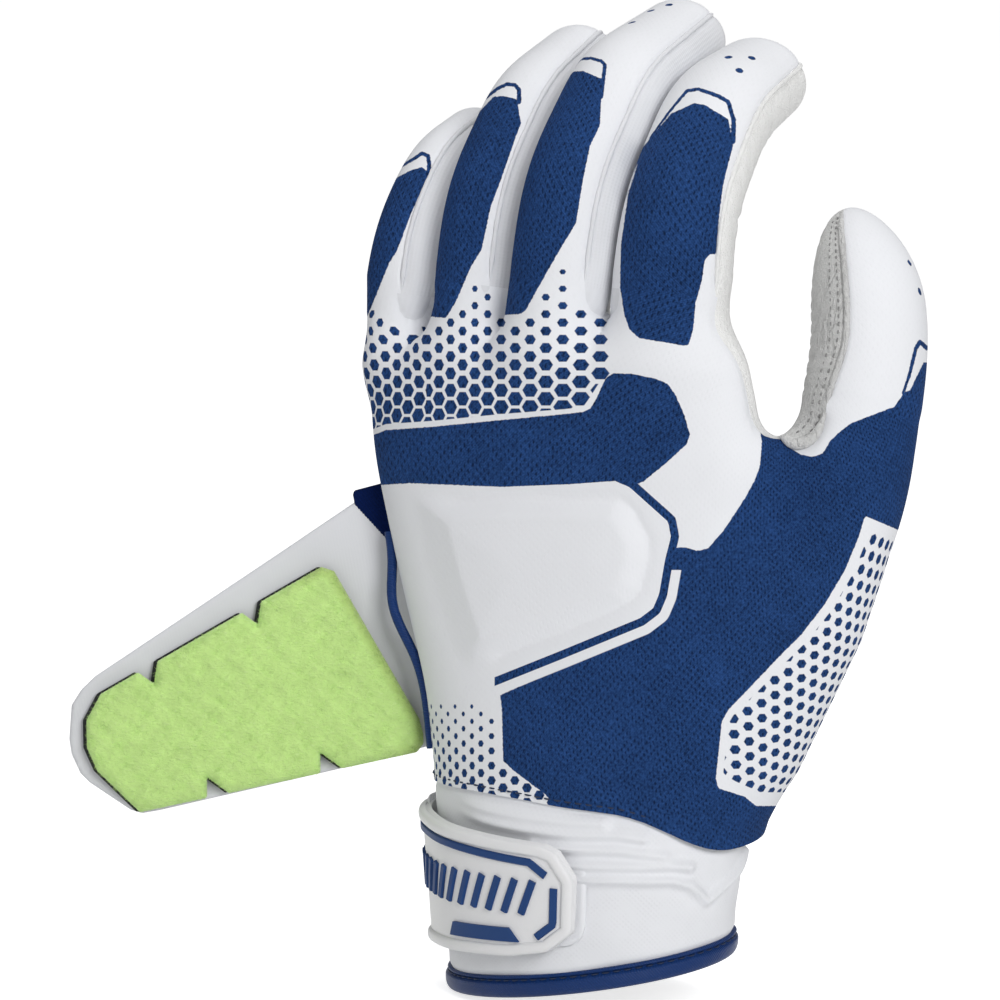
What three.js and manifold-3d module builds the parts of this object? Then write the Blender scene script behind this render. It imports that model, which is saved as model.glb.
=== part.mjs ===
// Batting glove for the left hand in its worn shape, hem at the bottom and fingers curled to the palm.
// Millimetres. X runs to the thumb side, Y to the palm, Z up towards the fingers. The origin is in the hem.
import * as THREE from 'three';
import Module from 'manifold-3d';
import { mergeVertices } from 'three/addons/utils/BufferGeometryUtils.js';

const wasm = await Module();
wasm.setup();

// Walls, seams and how finely the round forms are divided.
const WALL = 1.6;
const GAP = 0.3;
const HAND_SIDES = 24;
const HAND_ROWS = 12;
const DIGIT_SIDES = 12;
const RING_STEP = 9;
const FAR = 400;

// Hand: height, centre x, centre y, half width, half depth of the oval sections from hem to knuckles.
const HAND = [
  [0, 0, 0, 33, 24],
  [15, 0, 0, 34, 25],
  [35, 0, 0, 36, 25],
  [60, -3, 0, 41, 20],
  [85, -4, 0, 45.5, 16],
  [110, -6.5, 1, 48, 15],
  [130, -11.5, 3, 48.5, 14.5],
];
const KNUCKLE_HEIGHT = 136;
const KNUCKLE_SLOPE = 0.06;
const CROWN_RISE = 7;
const SIDE_SEAM = 1.5;
const THENAR_START = 20;
const THENAR_SLOPE = 0.45;

// Cuff and hem: the cuff seam falls to the thumb side, the hem rises to it.
const CUFF_SEAM = 34;
const CUFF_SLOPE = 0.12;
const HEM_SLOPE = 0.16;
const HEM_DIP = 2.5;
const HEM_TILT = 0.083;
const BINDING_HEIGHT = 4.2;
const BINDING_SWELL = 0.6;

// Fingers: root, lean to the thumb in degrees, curl at the root, curls (place, spread, degrees), length,
// half widths and half depths by place, length of the round tip, and the side wrapped by palm leather.
const FINGERS = {
  index: {
    root: [17.5, 4, KNUCKLE_HEIGHT + 5],
    lean: 1,
    start: 8,
    curls: [[26, 26, 32], [52, 20, 34]],
    length: 79,
    width: [[0, 12.3], [60, 11.8], [79, 10.5]],
    depth: [[0, 11], [50, 10.6], [79, 9]],
    wrapped: 1,
  },
  middle: {
    root: [-9.5, 0, KNUCKLE_HEIGHT + 6],
    lean: 3,
    start: 10,
    curls: [[29, 26, 32], [57, 20, 31]],
    length: 93,
    width: [[0, 10.6], [70, 10.8], [93, 10]],
    depth: [[0, 11], [60, 10.6], [93, 9]],
    wrapped: 0,
  },
  ring: {
    root: [-31, 4, KNUCKLE_HEIGHT + 4],
    lean: 2,
    start: 10,
    curls: [[27, 26, 32], [53, 20, 28]],
    length: 83,
    width: [[0, 10.2], [62, 10.4], [83, 10]],
    depth: [[0, 10.5], [52, 10], [83, 9]],
    wrapped: 0,
  },
  pinky: {
    root: [-51.5, 7, KNUCKLE_HEIGHT + 1],
    lean: 0,
    start: 8,
    curls: [[20, 24, 32], [38, 18, 30]],
    length: 61,
    width: [[0, 9.6], [45, 9.6], [61, 9]],
    depth: [[0, 9.5], [40, 9], [61, 8]],
    wrapped: -1,
  },
};
const FINGERTIP = 8;
const FINGER_SEAM = 4;
const STUB = 7;
const SIDE_STRIP = 3.4;

// Thumb: it leaves the hand at its seam and bends at its joint.
const THUMB = {
  root: [21, 4, 35.5],
  start: 0,
  curls: [[78, 36, 24], [120, 40, 12]],
  length: 141,
  width: [[0, 15], [20, 18], [52, 17], [71, 14], [90, 13], [120, 12.6], [141, 11]],
  depth: [[0, 15], [20, 18], [52, 17], [71, 14], [90, 13], [120, 12], [141, 9.5]],
};
const THUMB_ALONG = [22.4, 8, 47.2];
const THUMB_NAIL = [0.97, -0.24, 0];
const THUMB_TIP = 12;
const THUMB_SEAM = 84;
const THUMB_JOINT = 104;

// Cushion on the back of the hand: corners (x, z) and its thickness.
const BACK_PAD = [[-33, 103], [10, 106], [22, 94], [18, 80], [-22, 67]];
const PAD_THICK = 2.4;
const PAD_CORNER = 4;

// Closing strap, measured along the wrist from the middle of the back (minus is the little finger side).
const BAND_START = -62;
const BAND_END = -19;
const BAND_LOW = 6;
const BAND_HIGH = 29;
const ANCHOR_LENGTH = 6;
const PLY = 0.9;
const TAB_START = -45;
const TAB_END = 10;
const TAB_LOW = 4;
const TAB_HIGH = 32;
const TAB_FALL = 0.11;
const TAB_CHAMFER = 7;
const TAB_THICK = 2;
const TAB_STEP = 3;
const RIM_WIDTH = 2.4;
const RIM_HEIGHT = 0.9;
const TRIM_WIDTH = 1.8;
const TRIM_HEIGHT = 0.6;
const HOOK_START = -17;
const HOOK_END = 6;
const LOOP_START = -24;
const LOOP_END = 18;
const LOOP_DROP = 4;
const HOOK_RISE = 2;
const HOOK_DROP = 6;

// Padded leaf on the little finger edge: hinge line, way it stands open, outlines (outward, down the hinge).
const LEAF_TOP = [-55.2, 1, 104];
const LEAF_BOTTOM = [-42.2, 0, 45];
const LEAF_OUTWARD = [-0.9, -0.436, 0];
const LEAF_THICK = 1.2;
const LEAF = [
  [1, 16.5], [7, 4], [25, 11], [72, 31.5], [77, 36], [80, 47], [78.5, 52.5], [66.5, 64], [19, 62.5], [1, 58],
];
const CORNER_PIECE = [[1, 1], [6.2, 1], [6.6, 3.7], [1, 15.8]];
const FOAM_THICK = 1.4;
const FELT_THICK = 3;
const FELT_TOP = [[17.5, 17.5], [70, 35.5]];
const FELT_LOW = [[65, 63], [5, 61]];
const FELT_END = [[75, 41], [76, 47], [74, 53]];
const FELT_HINGE = [[3, 56], [14.5, 18.5]];
const NOTCH_WIDTH = 4;
const NOTCH_DEPTH = 4.5;
const NOTCH_PLACES = [0.35, 0.8];
const PIPING = 0.7;

const WHITE = 0xf2f2f4;
const BLUE = 0x24488a;
const LEATHER = 0xe2e1dc;
const LIME = 0xbfe66a;
const BLACK = 0x2a2a2e;

const glove = new THREE.Group();
glove.name = 'batting_glove';

function add(name, geometry, color, roughness = 0.8) {
  geometry.computeVertexNormals();
  const mesh = new THREE.Mesh(geometry, new THREE.MeshStandardMaterial({ color, roughness }));
  mesh.name = name;
  glove.add(mesh);
}

const vec = (p) => new THREE.Vector3(...p);
const rad = THREE.MathUtils.degToRad;
const smooth = (x) => THREE.MathUtils.smoothstep(x, 0, 1);

// Value at a place in a list of [place, value, ...] rows.
function between(rows, place, column = 1) {
  const last = rows.length - 1;
  if (place <= rows[0][0]) return rows[0][column];
  if (place >= rows[last][0]) return rows[last][column];
  const i = rows.findIndex((row) => row[0] > place);
  const share = (place - rows[i - 1][0]) / (rows[i][0] - rows[i - 1][0]);
  return rows[i - 1][column] + share * (rows[i][column] - rows[i - 1][column]);
}

// Closed surface from points and faces, turned so that it faces out.
function surface(points, faces) {
  let volume = 0;
  for (const [a, b, c] of faces) volume += points[a].dot(points[b].clone().cross(points[c]));
  const turned = volume < 0 ? faces.map(([a, b, c]) => [a, c, b]) : faces;
  const geometry = new THREE.BufferGeometry().setFromPoints(points);
  geometry.setIndex(turned.flat());
  return geometry;
}

// Skin over a row of rings, with both ends capped, or joined end to end when it is a loop.
function loft(rings, loop = false) {
  const around = rings[0].length;
  const points = rings.flat();
  const faces = [];
  const rows = loop ? rings.length : rings.length - 1;
  for (let i = 0; i < rows; i += 1) {
    const low = i * around;
    const high = ((i + 1) % rings.length) * around;
    for (let j = 0; j < around; j += 1) {
      const k = (j + 1) % around;
      faces.push([low + j, low + k, high + k], [low + j, high + k, high + j]);
    }
  }
  if (loop) return surface(points, faces);
  for (const [ring, start] of [[rings[0], 0], [rings[rings.length - 1], (rings.length - 1) * around]]) {
    const centre = new THREE.Vector3();
    ring.forEach((p) => centre.addScaledVector(p, 1 / around));
    points.push(centre);
    for (let j = 0; j < around; j += 1) {
      const pair = [start + j, start + ((j + 1) % around)];
      if (start) faces.push([pair[0], pair[1], points.length - 1]);
      else faces.push([pair[1], pair[0], points.length - 1]);
    }
  }
  return surface(points, faces);
}

function toSolid(geometry) {
  const bare = geometry.clone();
  bare.deleteAttribute('normal');
  bare.deleteAttribute('uv');
  const merged = mergeVertices(bare, 1e-4);
  const triVerts = new Uint32Array(merged.index.array);
  const vertProperties = new Float32Array(merged.attributes.position.array);
  return new wasm.Manifold(new wasm.Mesh({ numProp: 3, vertProperties, triVerts }));
}

function toGeometry(solid) {
  const mesh = solid.getMesh();
  const geometry = new THREE.BufferGeometry();
  geometry.setAttribute('position', new THREE.BufferAttribute(new Float32Array(mesh.vertProperties), 3));
  geometry.setIndex(Array.from(mesh.triVerts));
  return geometry;
}

const join = (solids) => solids.reduce((all, one) => all.add(one));

// A finger or thumb: a curved tube in one plane. Places on it are (along, sideways, towards the nail).
class Digit {
  constructor(shape, along, nail, tip) {
    Object.assign(this, shape);
    this.tip = tip;
    this.up = vec(along).normalize();
    const back = vec(nail);
    this.back = back.addScaledVector(this.up, -back.dot(this.up)).normalize();
    this.side = this.up.clone().cross(this.back);
  }

  flex(s) {
    let degrees = this.start;
    for (const [place, spread, turn] of this.curls) degrees += turn * smooth((s - place) / spread + 0.5);
    return rad(degrees);
  }

  along(s) {
    const f = this.flex(s);
    return this.up.clone().multiplyScalar(Math.cos(f)).addScaledVector(this.back, -Math.sin(f));
  }

  nail(s) {
    const f = this.flex(s);
    return this.back.clone().multiplyScalar(Math.cos(f)).addScaledVector(this.up, Math.sin(f));
  }

  centre(s) {
    const steps = 48;
    const c = vec(this.root);
    for (let i = 0; i < steps; i += 1) c.addScaledVector(this.along((s * (i + 0.5)) / steps), s / steps);
    return c;
  }

  at(s, w, n) {
    return this.centre(s).addScaledVector(this.side, w).addScaledVector(this.nail(s), n);
  }

  // Oval ring, drawn in towards the end over the round tip.
  ring(s, shrink, length) {
    const e = Math.max(0, (s - length + this.tip) / this.tip);
    const k = Math.sqrt(Math.max(0, 1 - e * e));
    const c = this.centre(s);
    const nail = this.nail(s);
    const ring = [];
    for (let j = 0; j < DIGIT_SIDES; j += 1) {
      const a = (2 * Math.PI * (j + 0.5)) / DIGIT_SIDES;
      const w = k * (between(this.width, s) - shrink) * Math.cos(a);
      const n = k * (between(this.depth, s) - shrink) * Math.sin(a);
      ring.push(c.clone().addScaledVector(this.side, w).addScaledVector(nail, n));
    }
    return ring;
  }

  tube(from, to, shrink) {
    const length = this.length - shrink;
    const end = Math.min(to, length - this.tip);
    const count = Math.max(2, Math.round((end - from) / RING_STEP));
    const places = Array.from({ length: count + 1 }, (_, i) => from + ((end - from) * i) / count);
    if (to > length) places.push(...[0.5, 0.8, 0.97].map((e) => length - this.tip * (1 - e)));
    return toSolid(loft(places.map((s) => this.ring(s, shrink, length))));
  }

  // Hollow tube with both ends of the stretch left open.
  shell() {
    return this.tube(0, FAR, 0).subtract(this.tube(-STUB, FAR, WALL));
  }

  // Block in the digit's own bent space.
  block(s0, s1, w0, w1, n0, n1) {
    const count = Math.max(2, Math.ceil((s1 - s0) / RING_STEP));
    const rings = [];
    for (let i = 0; i <= count; i += 1) {
      const s = s0 + ((s1 - s0) * i) / count;
      rings.push([[w0, n0], [w1, n0], [w1, n1], [w0, n1]].map(([w, n]) => this.at(s, w, n)));
    }
    return toSolid(loft(rings));
  }
}

const digits = {};
for (const [name, shape] of Object.entries(FINGERS)) {
  const lean = rad(shape.lean);
  digits[name] = new Digit(shape, [Math.sin(lean), 0, Math.cos(lean)], [0, -1, 0], FINGERTIP);
}
const thumb = new Digit(THUMB, THUMB_ALONG, THUMB_NAIL, THUMB_TIP);

// Oval section of the hand, its points lifted by a function of x and y.
function handRing(z, grow, lift = () => 0, scale = 1) {
  const [x0, y0, a, b] = [1, 2, 3, 4].map((column) => between(HAND, z, column));
  const ring = [];
  for (let j = 0; j < HAND_SIDES; j += 1) {
    const t = (2 * Math.PI * j) / HAND_SIDES;
    const x = x0 + scale * (a + grow) * Math.cos(t);
    const y = y0 + scale * (b + grow) * Math.sin(t);
    ring.push(new THREE.Vector3(x, y, z + lift(x, y)));
  }
  return ring;
}

const cuffSeam = (x) => CUFF_SEAM - CUFF_SLOPE * x;
const hemLine = (x, y) => HEM_SLOPE * x - HEM_DIP + HEM_TILT * (y + HAND[0][4]);
const knuckleLine = (x) => KNUCKLE_SLOPE * x;

// Hand body from below the cuff seam to its crown under the fingers.
function handBody(shrink) {
  const low = CUFF_SEAM / 2 - shrink * RING_STEP;
  const rings = [];
  for (let i = 0; i <= HAND_ROWS; i += 1) {
    rings.push(handRing(low + ((KNUCKLE_HEIGHT - low) * i) / HAND_ROWS, -shrink));
  }
  const top = rings.pop();
  rings.push(handRing(KNUCKLE_HEIGHT, -shrink, (x) => knuckleLine(x)));
  for (const [rise, scale] of [[0.6, 0.92], [1, 0.72]]) {
    const lift = (x) => knuckleLine(x) + CROWN_RISE * rise - shrink;
    rings.push(handRing(top[0].z, -shrink, lift, scale));
  }
  return toSolid(loft(rings));
}

const everyFinger = Object.values(digits);
const outer = join([
  handBody(0),
  thumb.tube(0, THUMB_SEAM - GAP, 0),
  ...everyFinger.map((d) => d.tube(-STUB, FINGER_SEAM - GAP, 0)),
]);
const inner = join([
  handBody(WALL),
  thumb.tube(0, THUMB_SEAM + RING_STEP, WALL),
  ...everyFinger.map((d) => d.tube(WALL - STUB, FINGER_SEAM + RING_STEP, WALL)),
]);

// Everything above the cuff seam.
const aboveCuff = toSolid(loft([GAP, FAR].map((rise) => (
  [[-FAR, -FAR], [FAR, -FAR], [FAR, FAR], [-FAR, FAR]].map(([x, y]) => (
    new THREE.Vector3(x, y, rise + cuffSeam(x))))))));
const handShell = outer.subtract(inner).intersect(aboveCuff);

// The side seam runs straight up the little finger edge and swings out along the thumb.
function sideOfSeam(way) {
  const y = (x) => SIDE_SEAM + THENAR_SLOPE * Math.max(0, x - THENAR_START) + (way * GAP) / 2;
  const line = [-FAR, THENAR_START, FAR].map((x) => [x, y(x)]);
  const outline = [...line, [FAR, way * FAR], [-FAR, way * FAR]];
  const shape = new THREE.Shape(outline.map(([x, z]) => new THREE.Vector2(x, z)));
  return toSolid(new THREE.ExtrudeGeometry(shape, { depth: FAR, bevelEnabled: false }));
}
add('back_panel', toGeometry(handShell.intersect(sideOfSeam(-1))), WHITE);
add('palm_panel', toGeometry(handShell.intersect(sideOfSeam(1))), LEATHER);

// Finger pieces: a back, a leather front and side strips, each cut at the finger's middle joint.
const half = GAP / 2;
const reachOf = (digit) => Math.max(...digit.width.map((row) => row[1])) + 2 * WALL;
for (const [name, digit] of Object.entries(digits)) {
  const joint = digit.curls[0][0];
  const reach = reachOf(digit);
  const shell = digit.shell();
  const stretches = [['', FINGER_SEAM, joint - half], ['_tip', joint + half, digit.length + WALL]];
  for (const [suffix, s0, s1] of stretches) {
    const piece = (w0, w1, n0, n1) => shell.intersect(digit.block(s0, s1, w0, w1, n0, n1));
    const edge = SIDE_STRIP - half;
    const back = piece(-reach, reach, SIDE_STRIP + half, reach);
    let front = piece(-reach, reach, -reach, -SIDE_STRIP - half);
    if (digit.wrapped > 0) front = front.add(piece(0, reach, -reach, edge));
    if (digit.wrapped < 0) front = front.add(piece(-reach, 0, -reach, edge));
    add(`${name}${suffix}_back`, toGeometry(back), WHITE);
    add(`${name}${suffix}_leather`, toGeometry(front), LEATHER);
    const sides = [];
    if (digit.wrapped === 0 && suffix) sides.push(['_gusset', -reach, reach]);
    if (digit.wrapped === 0 && !suffix) {
      sides.push(['_side_inner', GAP, reach], ['_side_outer', -reach, -GAP]);
    }
    if (digit.wrapped > 0) sides.push(['_side', -reach, -GAP]);
    if (digit.wrapped < 0) sides.push(['_side', GAP, reach]);
    for (const [label, w0, w1] of sides) {
      add(`${name}${suffix}${label}`, toGeometry(piece(w0, w1, -edge, edge)), WHITE);
    }
  }
}

// Thumb pieces: back and leather, below and above the joint.
const thumbShell = thumb.shell();
const thumbReach = reachOf(thumb);
const thumbStretches = [
  ['thumb', THUMB_SEAM, THUMB_JOINT - half],
  ['thumb_tip', THUMB_JOINT + half, thumb.length + WALL],
];
for (const [name, s0, end] of thumbStretches) {
  const back = thumb.block(s0, end, -thumbReach, thumbReach, half, thumbReach);
  const front = thumb.block(s0, end, -thumbReach, thumbReach, -thumbReach, -half);
  add(`${name}_back`, toGeometry(thumbShell.intersect(back)), BLUE);
  add(`${name}_leather`, toGeometry(thumbShell.intersect(front)), LEATHER);
}

// Cuff sleeve: outside up, inside down.
function sleeve(places) {
  return loft(places.map(([z, grow, lift]) => handRing(z, grow, lift)), true);
}
const hemTop = (x, y) => hemLine(x, y) + BINDING_HEIGHT;
const cuffLift = (z) => (x, y) => {
  const share = z / CUFF_SEAM;
  return (1 - share) * hemTop(x, y) - share * CUFF_SLOPE * x;
};
const cuffRow = [0, 0.35, 0.7, 1].map((share) => share * CUFF_SEAM);
add('cuff_sleeve', sleeve([
  ...cuffRow.map((z) => [z, 0, cuffLift(z)]),
  ...cuffRow.reverse().map((z) => [z, -WALL, cuffLift(z)]),
]), WHITE);

// Rolled binding round the hem.
const binding = [];
for (let i = 0; i < 8; i += 1) {
  const a = (2 * Math.PI * i) / 8;
  const rise = ((BINDING_HEIGHT - GAP) / 2) * (1 + Math.sin(a));
  const grow = -WALL / 2 + (WALL / 2 + BINDING_SWELL) * Math.cos(a);
  binding.push([0, grow, (x, y) => hemLine(x, y) + rise]);
}
add('hem_binding', sleeve(binding), BLUE);

// Corners of an outline cut back and rounded.
function rounded(corners, cut) {
  return corners.flatMap((p, i) => {
    const before = corners[(i + corners.length - 1) % corners.length];
    const after = corners[(i + 1) % corners.length];
    const toward = (q) => {
      const d = Math.hypot(q[0] - p[0], q[1] - p[1]);
      return [0, 1].map((axis) => p[axis] + ((q[axis] - p[axis]) * Math.min(cut, d / 2.5)) / d);
    };
    const [a, b] = [toward(before), toward(after)];
    const bulge = [0, 1].map((axis) => (a[axis] + b[axis]) / 4 + p[axis] / 2);
    return [a, bulge, b];
  });
}

// Long edges of an outline divided so that no step is over the limit.
function divided(outline, limit) {
  return outline.flatMap((p, i) => {
    const q = outline[(i + 1) % outline.length];
    const count = Math.ceil(Math.hypot(q[0] - p[0], q[1] - p[1]) / limit);
    const step = (k) => [0, 1].map((axis) => p[axis] + ((q[axis] - p[axis]) * k) / count);
    return Array.from({ length: count }, (_, k) => step(k));
  });
}

// Cushion or flat piece over an outline: rings shrink to the middle, and the crown rises from its sides.
function cushion(place, outline, low, edge, crown, rows = 4) {
  const middle = [0, 1].map((axis) => outline.reduce((sum, p) => sum + p[axis], 0) / outline.length);
  const rings = [];
  const ringAt = (share, height) => outline.map((p) => (
    place(middle[0] + share * (p[0] - middle[0]), middle[1] + share * (p[1] - middle[1]), height)));
  for (let i = 1; i <= rows; i += 1) rings.push(ringAt(i / rows, low));
  for (let i = rows; i >= 1; i -= 1) {
    const share = i / rows;
    rings.push(ringAt(share, edge + (crown - edge) * Math.sqrt(1 - share * share)));
  }
  return loft(rings);
}

// Place on the back of the hand, a height out from it.
function onBack(x, z, height) {
  const [x0, y0, a, b] = [1, 2, 3, 4].map((column) => between(HAND, z, column));
  const u = Math.min(0.98, Math.abs((x - x0) / a)) * Math.sign(x - x0);
  const y = y0 - b * Math.sqrt(1 - u * u);
  const out = new THREE.Vector3(u / a, -Math.sqrt(1 - u * u) / b, 0).normalize();
  return new THREE.Vector3(x, y, z).addScaledVector(out, height);
}
const padLine = divided(rounded(BACK_PAD, PAD_CORNER), 8);
add('back_pad', cushion(onBack, padLine, GAP * 2, PAD_THICK / 3, PAD_THICK, 5), WHITE);

// Place on the cuff: u along the wrist from the middle of its back, z up, a height out.
function onCuff(u, z, height) {
  const [a, b] = [3, 4].map((column) => between(HAND, z, column));
  const t = -Math.PI / 2 + (2 * u) / (HAND[1][3] + HAND[1][4]);
  const out = new THREE.Vector3(Math.cos(t) / a, Math.sin(t) / b, 0).normalize();
  return new THREE.Vector3(a * Math.cos(t), b * Math.sin(t), z).addScaledVector(out, height);
}

// Strip on the cuff between two lines, each a height along u.
function strip(u0, u1, low, high, h0, h1, count) {
  const rings = [];
  for (let i = 0; i <= count; i += 1) {
    const u = u0 + ((u1 - u0) * i) / count;
    const [v0, v1] = [low(u), high(u)];
    const levels = [0, 0.33, 0.67, 1].map((share) => v0 + (v1 - v0) * share);
    rings.push([...levels.map((v) => onCuff(u, v, h0)), ...levels.reverse().map((v) => onCuff(u, v, h1))]);
  }
  return loft(rings);
}

// Raised bar along a line drawn on the cuff.
function bar(line, width, h0, h1) {
  const rings = line.map((p, i) => {
    const before = line[Math.max(0, i - 1)];
    const after = line[Math.min(line.length - 1, i + 1)];
    const along = new THREE.Vector2(after[0] - before[0], after[1] - before[1]).normalize();
    const across = [-along.y * width / 2, along.x * width / 2];
    const spot = (way, height) => onCuff(p[0] + way * across[0], p[1] + way * across[1], height);
    return [spot(-1, h0), spot(1, h0), spot(0.7, h1), spot(-0.7, h1)];
  });
  return loft(rings);
}

const level = (z) => () => z;
const lay1 = GAP;
const lay2 = lay1 + PLY + GAP;
const lay3 = lay2 + PLY + GAP;
const lay4 = lay3 + TAB_THICK + GAP;
const tabHigh = (u) => TAB_HIGH - TAB_FALL * (u - TAB_START) - Math.max(0, u - TAB_END + TAB_CHAMFER);
const tabLow = (u) => TAB_LOW + Math.max(0, u - TAB_END + TAB_CHAMFER);
const bandLow = level(BAND_LOW);
const bandHigh = level(BAND_HIGH);
const loopHigh = level(BAND_HIGH - LOOP_DROP);
const hookLow = level(BAND_LOW + HOOK_RISE);
const hookHigh = level(BAND_HIGH - HOOK_DROP);
add('cuff_loop_patch', strip(LOOP_START, LOOP_END, bandLow, loopHigh, lay1, lay1 + PLY, 8), WHITE);
add('strap_hook_patch', strip(HOOK_START, HOOK_END, hookLow, hookHigh, lay2, lay2 + PLY, 5), BLACK);
add('strap_band', strip(BAND_START, BAND_END, bandLow, bandHigh, lay2, lay2 + PLY, 10), WHITE);
const anchorEnd = BAND_START - GAP;
const anchorStart = anchorEnd - ANCHOR_LENGTH;
add('strap_anchor', strip(anchorStart, anchorEnd, bandLow, bandHigh, lay1, lay2 + PLY, 2), WHITE);
add('strap_tab', strip(TAB_START, TAB_END, tabLow, tabHigh, lay3, lay3 + TAB_THICK, 18), WHITE, 0.5);

// Rim round the tab's end and blue trims inside it, set in from the tab's edge.
function tabLine(inset, from) {
  const corner = TAB_END - TAB_CHAMFER;
  const end = TAB_END - inset;
  const flat = corner - inset * 0.4;
  const count = Math.ceil((flat - from) / TAB_STEP);
  const top = Array.from({ length: count + 1 }, (_, i) => {
    const u = from + ((flat - from) * i) / count;
    return [u, tabHigh(u) - inset];
  });
  const low = top.map(([u]) => [u, TAB_LOW + inset]).reverse();
  const drop = end - flat;
  const turn = (share, z, way) => [flat + drop * share, z + way * drop * share];
  const high = top[count][1];
  const base = TAB_LOW + inset;
  return { top, end: [turn(0.5, high, -1), turn(1, high, -1), turn(1, base, 1), turn(0.5, base, 1)], low };
}
const rim = tabLine(RIM_WIDTH / 2 + 0.2, TAB_START + 1);
add('strap_rim', bar([...rim.top, ...rim.end, ...rim.low], RIM_WIDTH, lay4, lay4 + RIM_HEIGHT), WHITE, 0.5);
const trim = tabLine(RIM_WIDTH + TRIM_WIDTH / 2 + 1, TAB_START + 1);
const shift = ([u, z]) => [u - TRIM_WIDTH, z];
add('strap_trim_top', bar(trim.top.map(shift), TRIM_WIDTH, lay4, lay4 + TRIM_HEIGHT), BLUE, 0.5);
add('strap_trim_end', bar(trim.end.slice(1, 3), TRIM_WIDTH, lay4, lay4 + TRIM_HEIGHT), BLUE, 0.5);
add('strap_trim_low', bar(trim.low.map(shift), TRIM_WIDTH, lay4, lay4 + TRIM_HEIGHT), BLUE, 0.5);

// Leaf plane: outward from the hinge, down the hinge, and a height towards its felt side.
const hingeTop = vec(LEAF_TOP);
const hingeDown = vec(LEAF_BOTTOM).sub(hingeTop).normalize();
const outward = vec(LEAF_OUTWARD);
outward.addScaledVector(hingeDown, -outward.dot(hingeDown)).normalize();
const leafFace = outward.clone().cross(hingeDown);
function onLeaf(u, v, height) {
  const place = hingeTop.clone().addScaledVector(outward, u).addScaledVector(hingeDown, v);
  return place.addScaledVector(leafFace, height);
}

// Edge of the felt pad with its V notches.
function notched([a, b], inward) {
  const length = Math.hypot(b[0] - a[0], b[1] - a[1]);
  const along = [0, 1].map((axis) => (b[axis] - a[axis]) / length);
  const points = [a];
  for (const share of NOTCH_PLACES) {
    const places = [[-NOTCH_WIDTH / 2, 0], [0, NOTCH_DEPTH], [NOTCH_WIDTH / 2, 0]];
    for (const [step, deep] of places) {
      const s = share * length + step;
      points.push([a[0] + along[0] * s + inward[0] * deep, a[1] + along[1] * s + inward[1] * deep]);
    }
  }
  return [...points, b];
}
const feltLine = divided([
  ...notched(FELT_TOP, [0.2, 1]),
  ...FELT_END,
  ...notched(FELT_LOW, [0, -1]),
  ...FELT_HINGE,
], 9);
const foamBase = LEAF_THICK + GAP;
const feltBase = foamBase + FOAM_THICK + GAP;
add('flap_leaf', cushion(onLeaf, divided(LEAF, 10), 0, LEAF_THICK, LEAF_THICK, 1), WHITE);
add('flap_corner', cushion(onLeaf, CORNER_PIECE, 0, LEAF_THICK, LEAF_THICK, 1), BLUE);
const foamTop = foamBase + FOAM_THICK;
add('flap_foam', cushion(onLeaf, feltLine, foamBase, foamTop, foamTop, 1), BLACK);
const feltEdge = feltBase + FELT_THICK / 2;
add('flap_pad', cushion(onLeaf, feltLine, feltBase, feltEdge, feltBase + FELT_THICK, 5), LIME);

// Piping on the hand's edge beside the leaf's hinge.
const pipe = [];
for (let i = 0; i <= 6; i += 1) {
  const z = LEAF_BOTTOM[2] + ((LEAF_TOP[2] - LEAF_BOTTOM[2]) * i) / 6;
  const [x0, y0, a] = [1, 2, 3].map((column) => between(HAND, z, column));
  const ring = [];
  for (let j = 0; j < 6; j += 1) {
    const t = (2 * Math.PI * j) / 6;
    ring.push(new THREE.Vector3(x0 - a - GAP + PIPING * (Math.cos(t) - 1), y0 + PIPING * Math.sin(t), z));
  }
  pipe.push(ring);
}
add('flap_piping', loft(pipe), BLUE);

export default glove;
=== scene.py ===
"""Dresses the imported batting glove: knit and leather skins, print, cuff, strap, padded leaf, stage.

Lengths are millimetres here and become metres when a mesh is written. X runs to the thumb, Y to the
palm, Z up.
"""
import math

import bmesh
import bpy
import numpy as np
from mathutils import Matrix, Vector


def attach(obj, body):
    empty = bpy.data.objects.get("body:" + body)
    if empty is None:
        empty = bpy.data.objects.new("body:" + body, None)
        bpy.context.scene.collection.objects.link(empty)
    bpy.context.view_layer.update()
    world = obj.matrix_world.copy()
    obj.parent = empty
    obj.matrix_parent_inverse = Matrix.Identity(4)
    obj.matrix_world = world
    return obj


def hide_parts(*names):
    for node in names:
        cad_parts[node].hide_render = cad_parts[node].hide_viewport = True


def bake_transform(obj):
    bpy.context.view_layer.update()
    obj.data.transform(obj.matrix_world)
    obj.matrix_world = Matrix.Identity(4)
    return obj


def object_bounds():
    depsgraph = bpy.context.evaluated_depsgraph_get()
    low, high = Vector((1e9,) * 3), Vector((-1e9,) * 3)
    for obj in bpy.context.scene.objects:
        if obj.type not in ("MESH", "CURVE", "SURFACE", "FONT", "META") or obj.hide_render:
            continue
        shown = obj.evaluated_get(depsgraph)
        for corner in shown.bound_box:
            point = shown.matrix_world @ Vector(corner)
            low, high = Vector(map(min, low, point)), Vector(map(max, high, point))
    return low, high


bl_info = {
    "name": "Batting glove",
    "version": (1, 0, 0),
    "blender": (4, 5, 0),
    "location": "3D View > Sidebar > Glove",
    "description": "Builds the soft pieces of a batting glove round its packed frame",
    "category": "Object",
}

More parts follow.
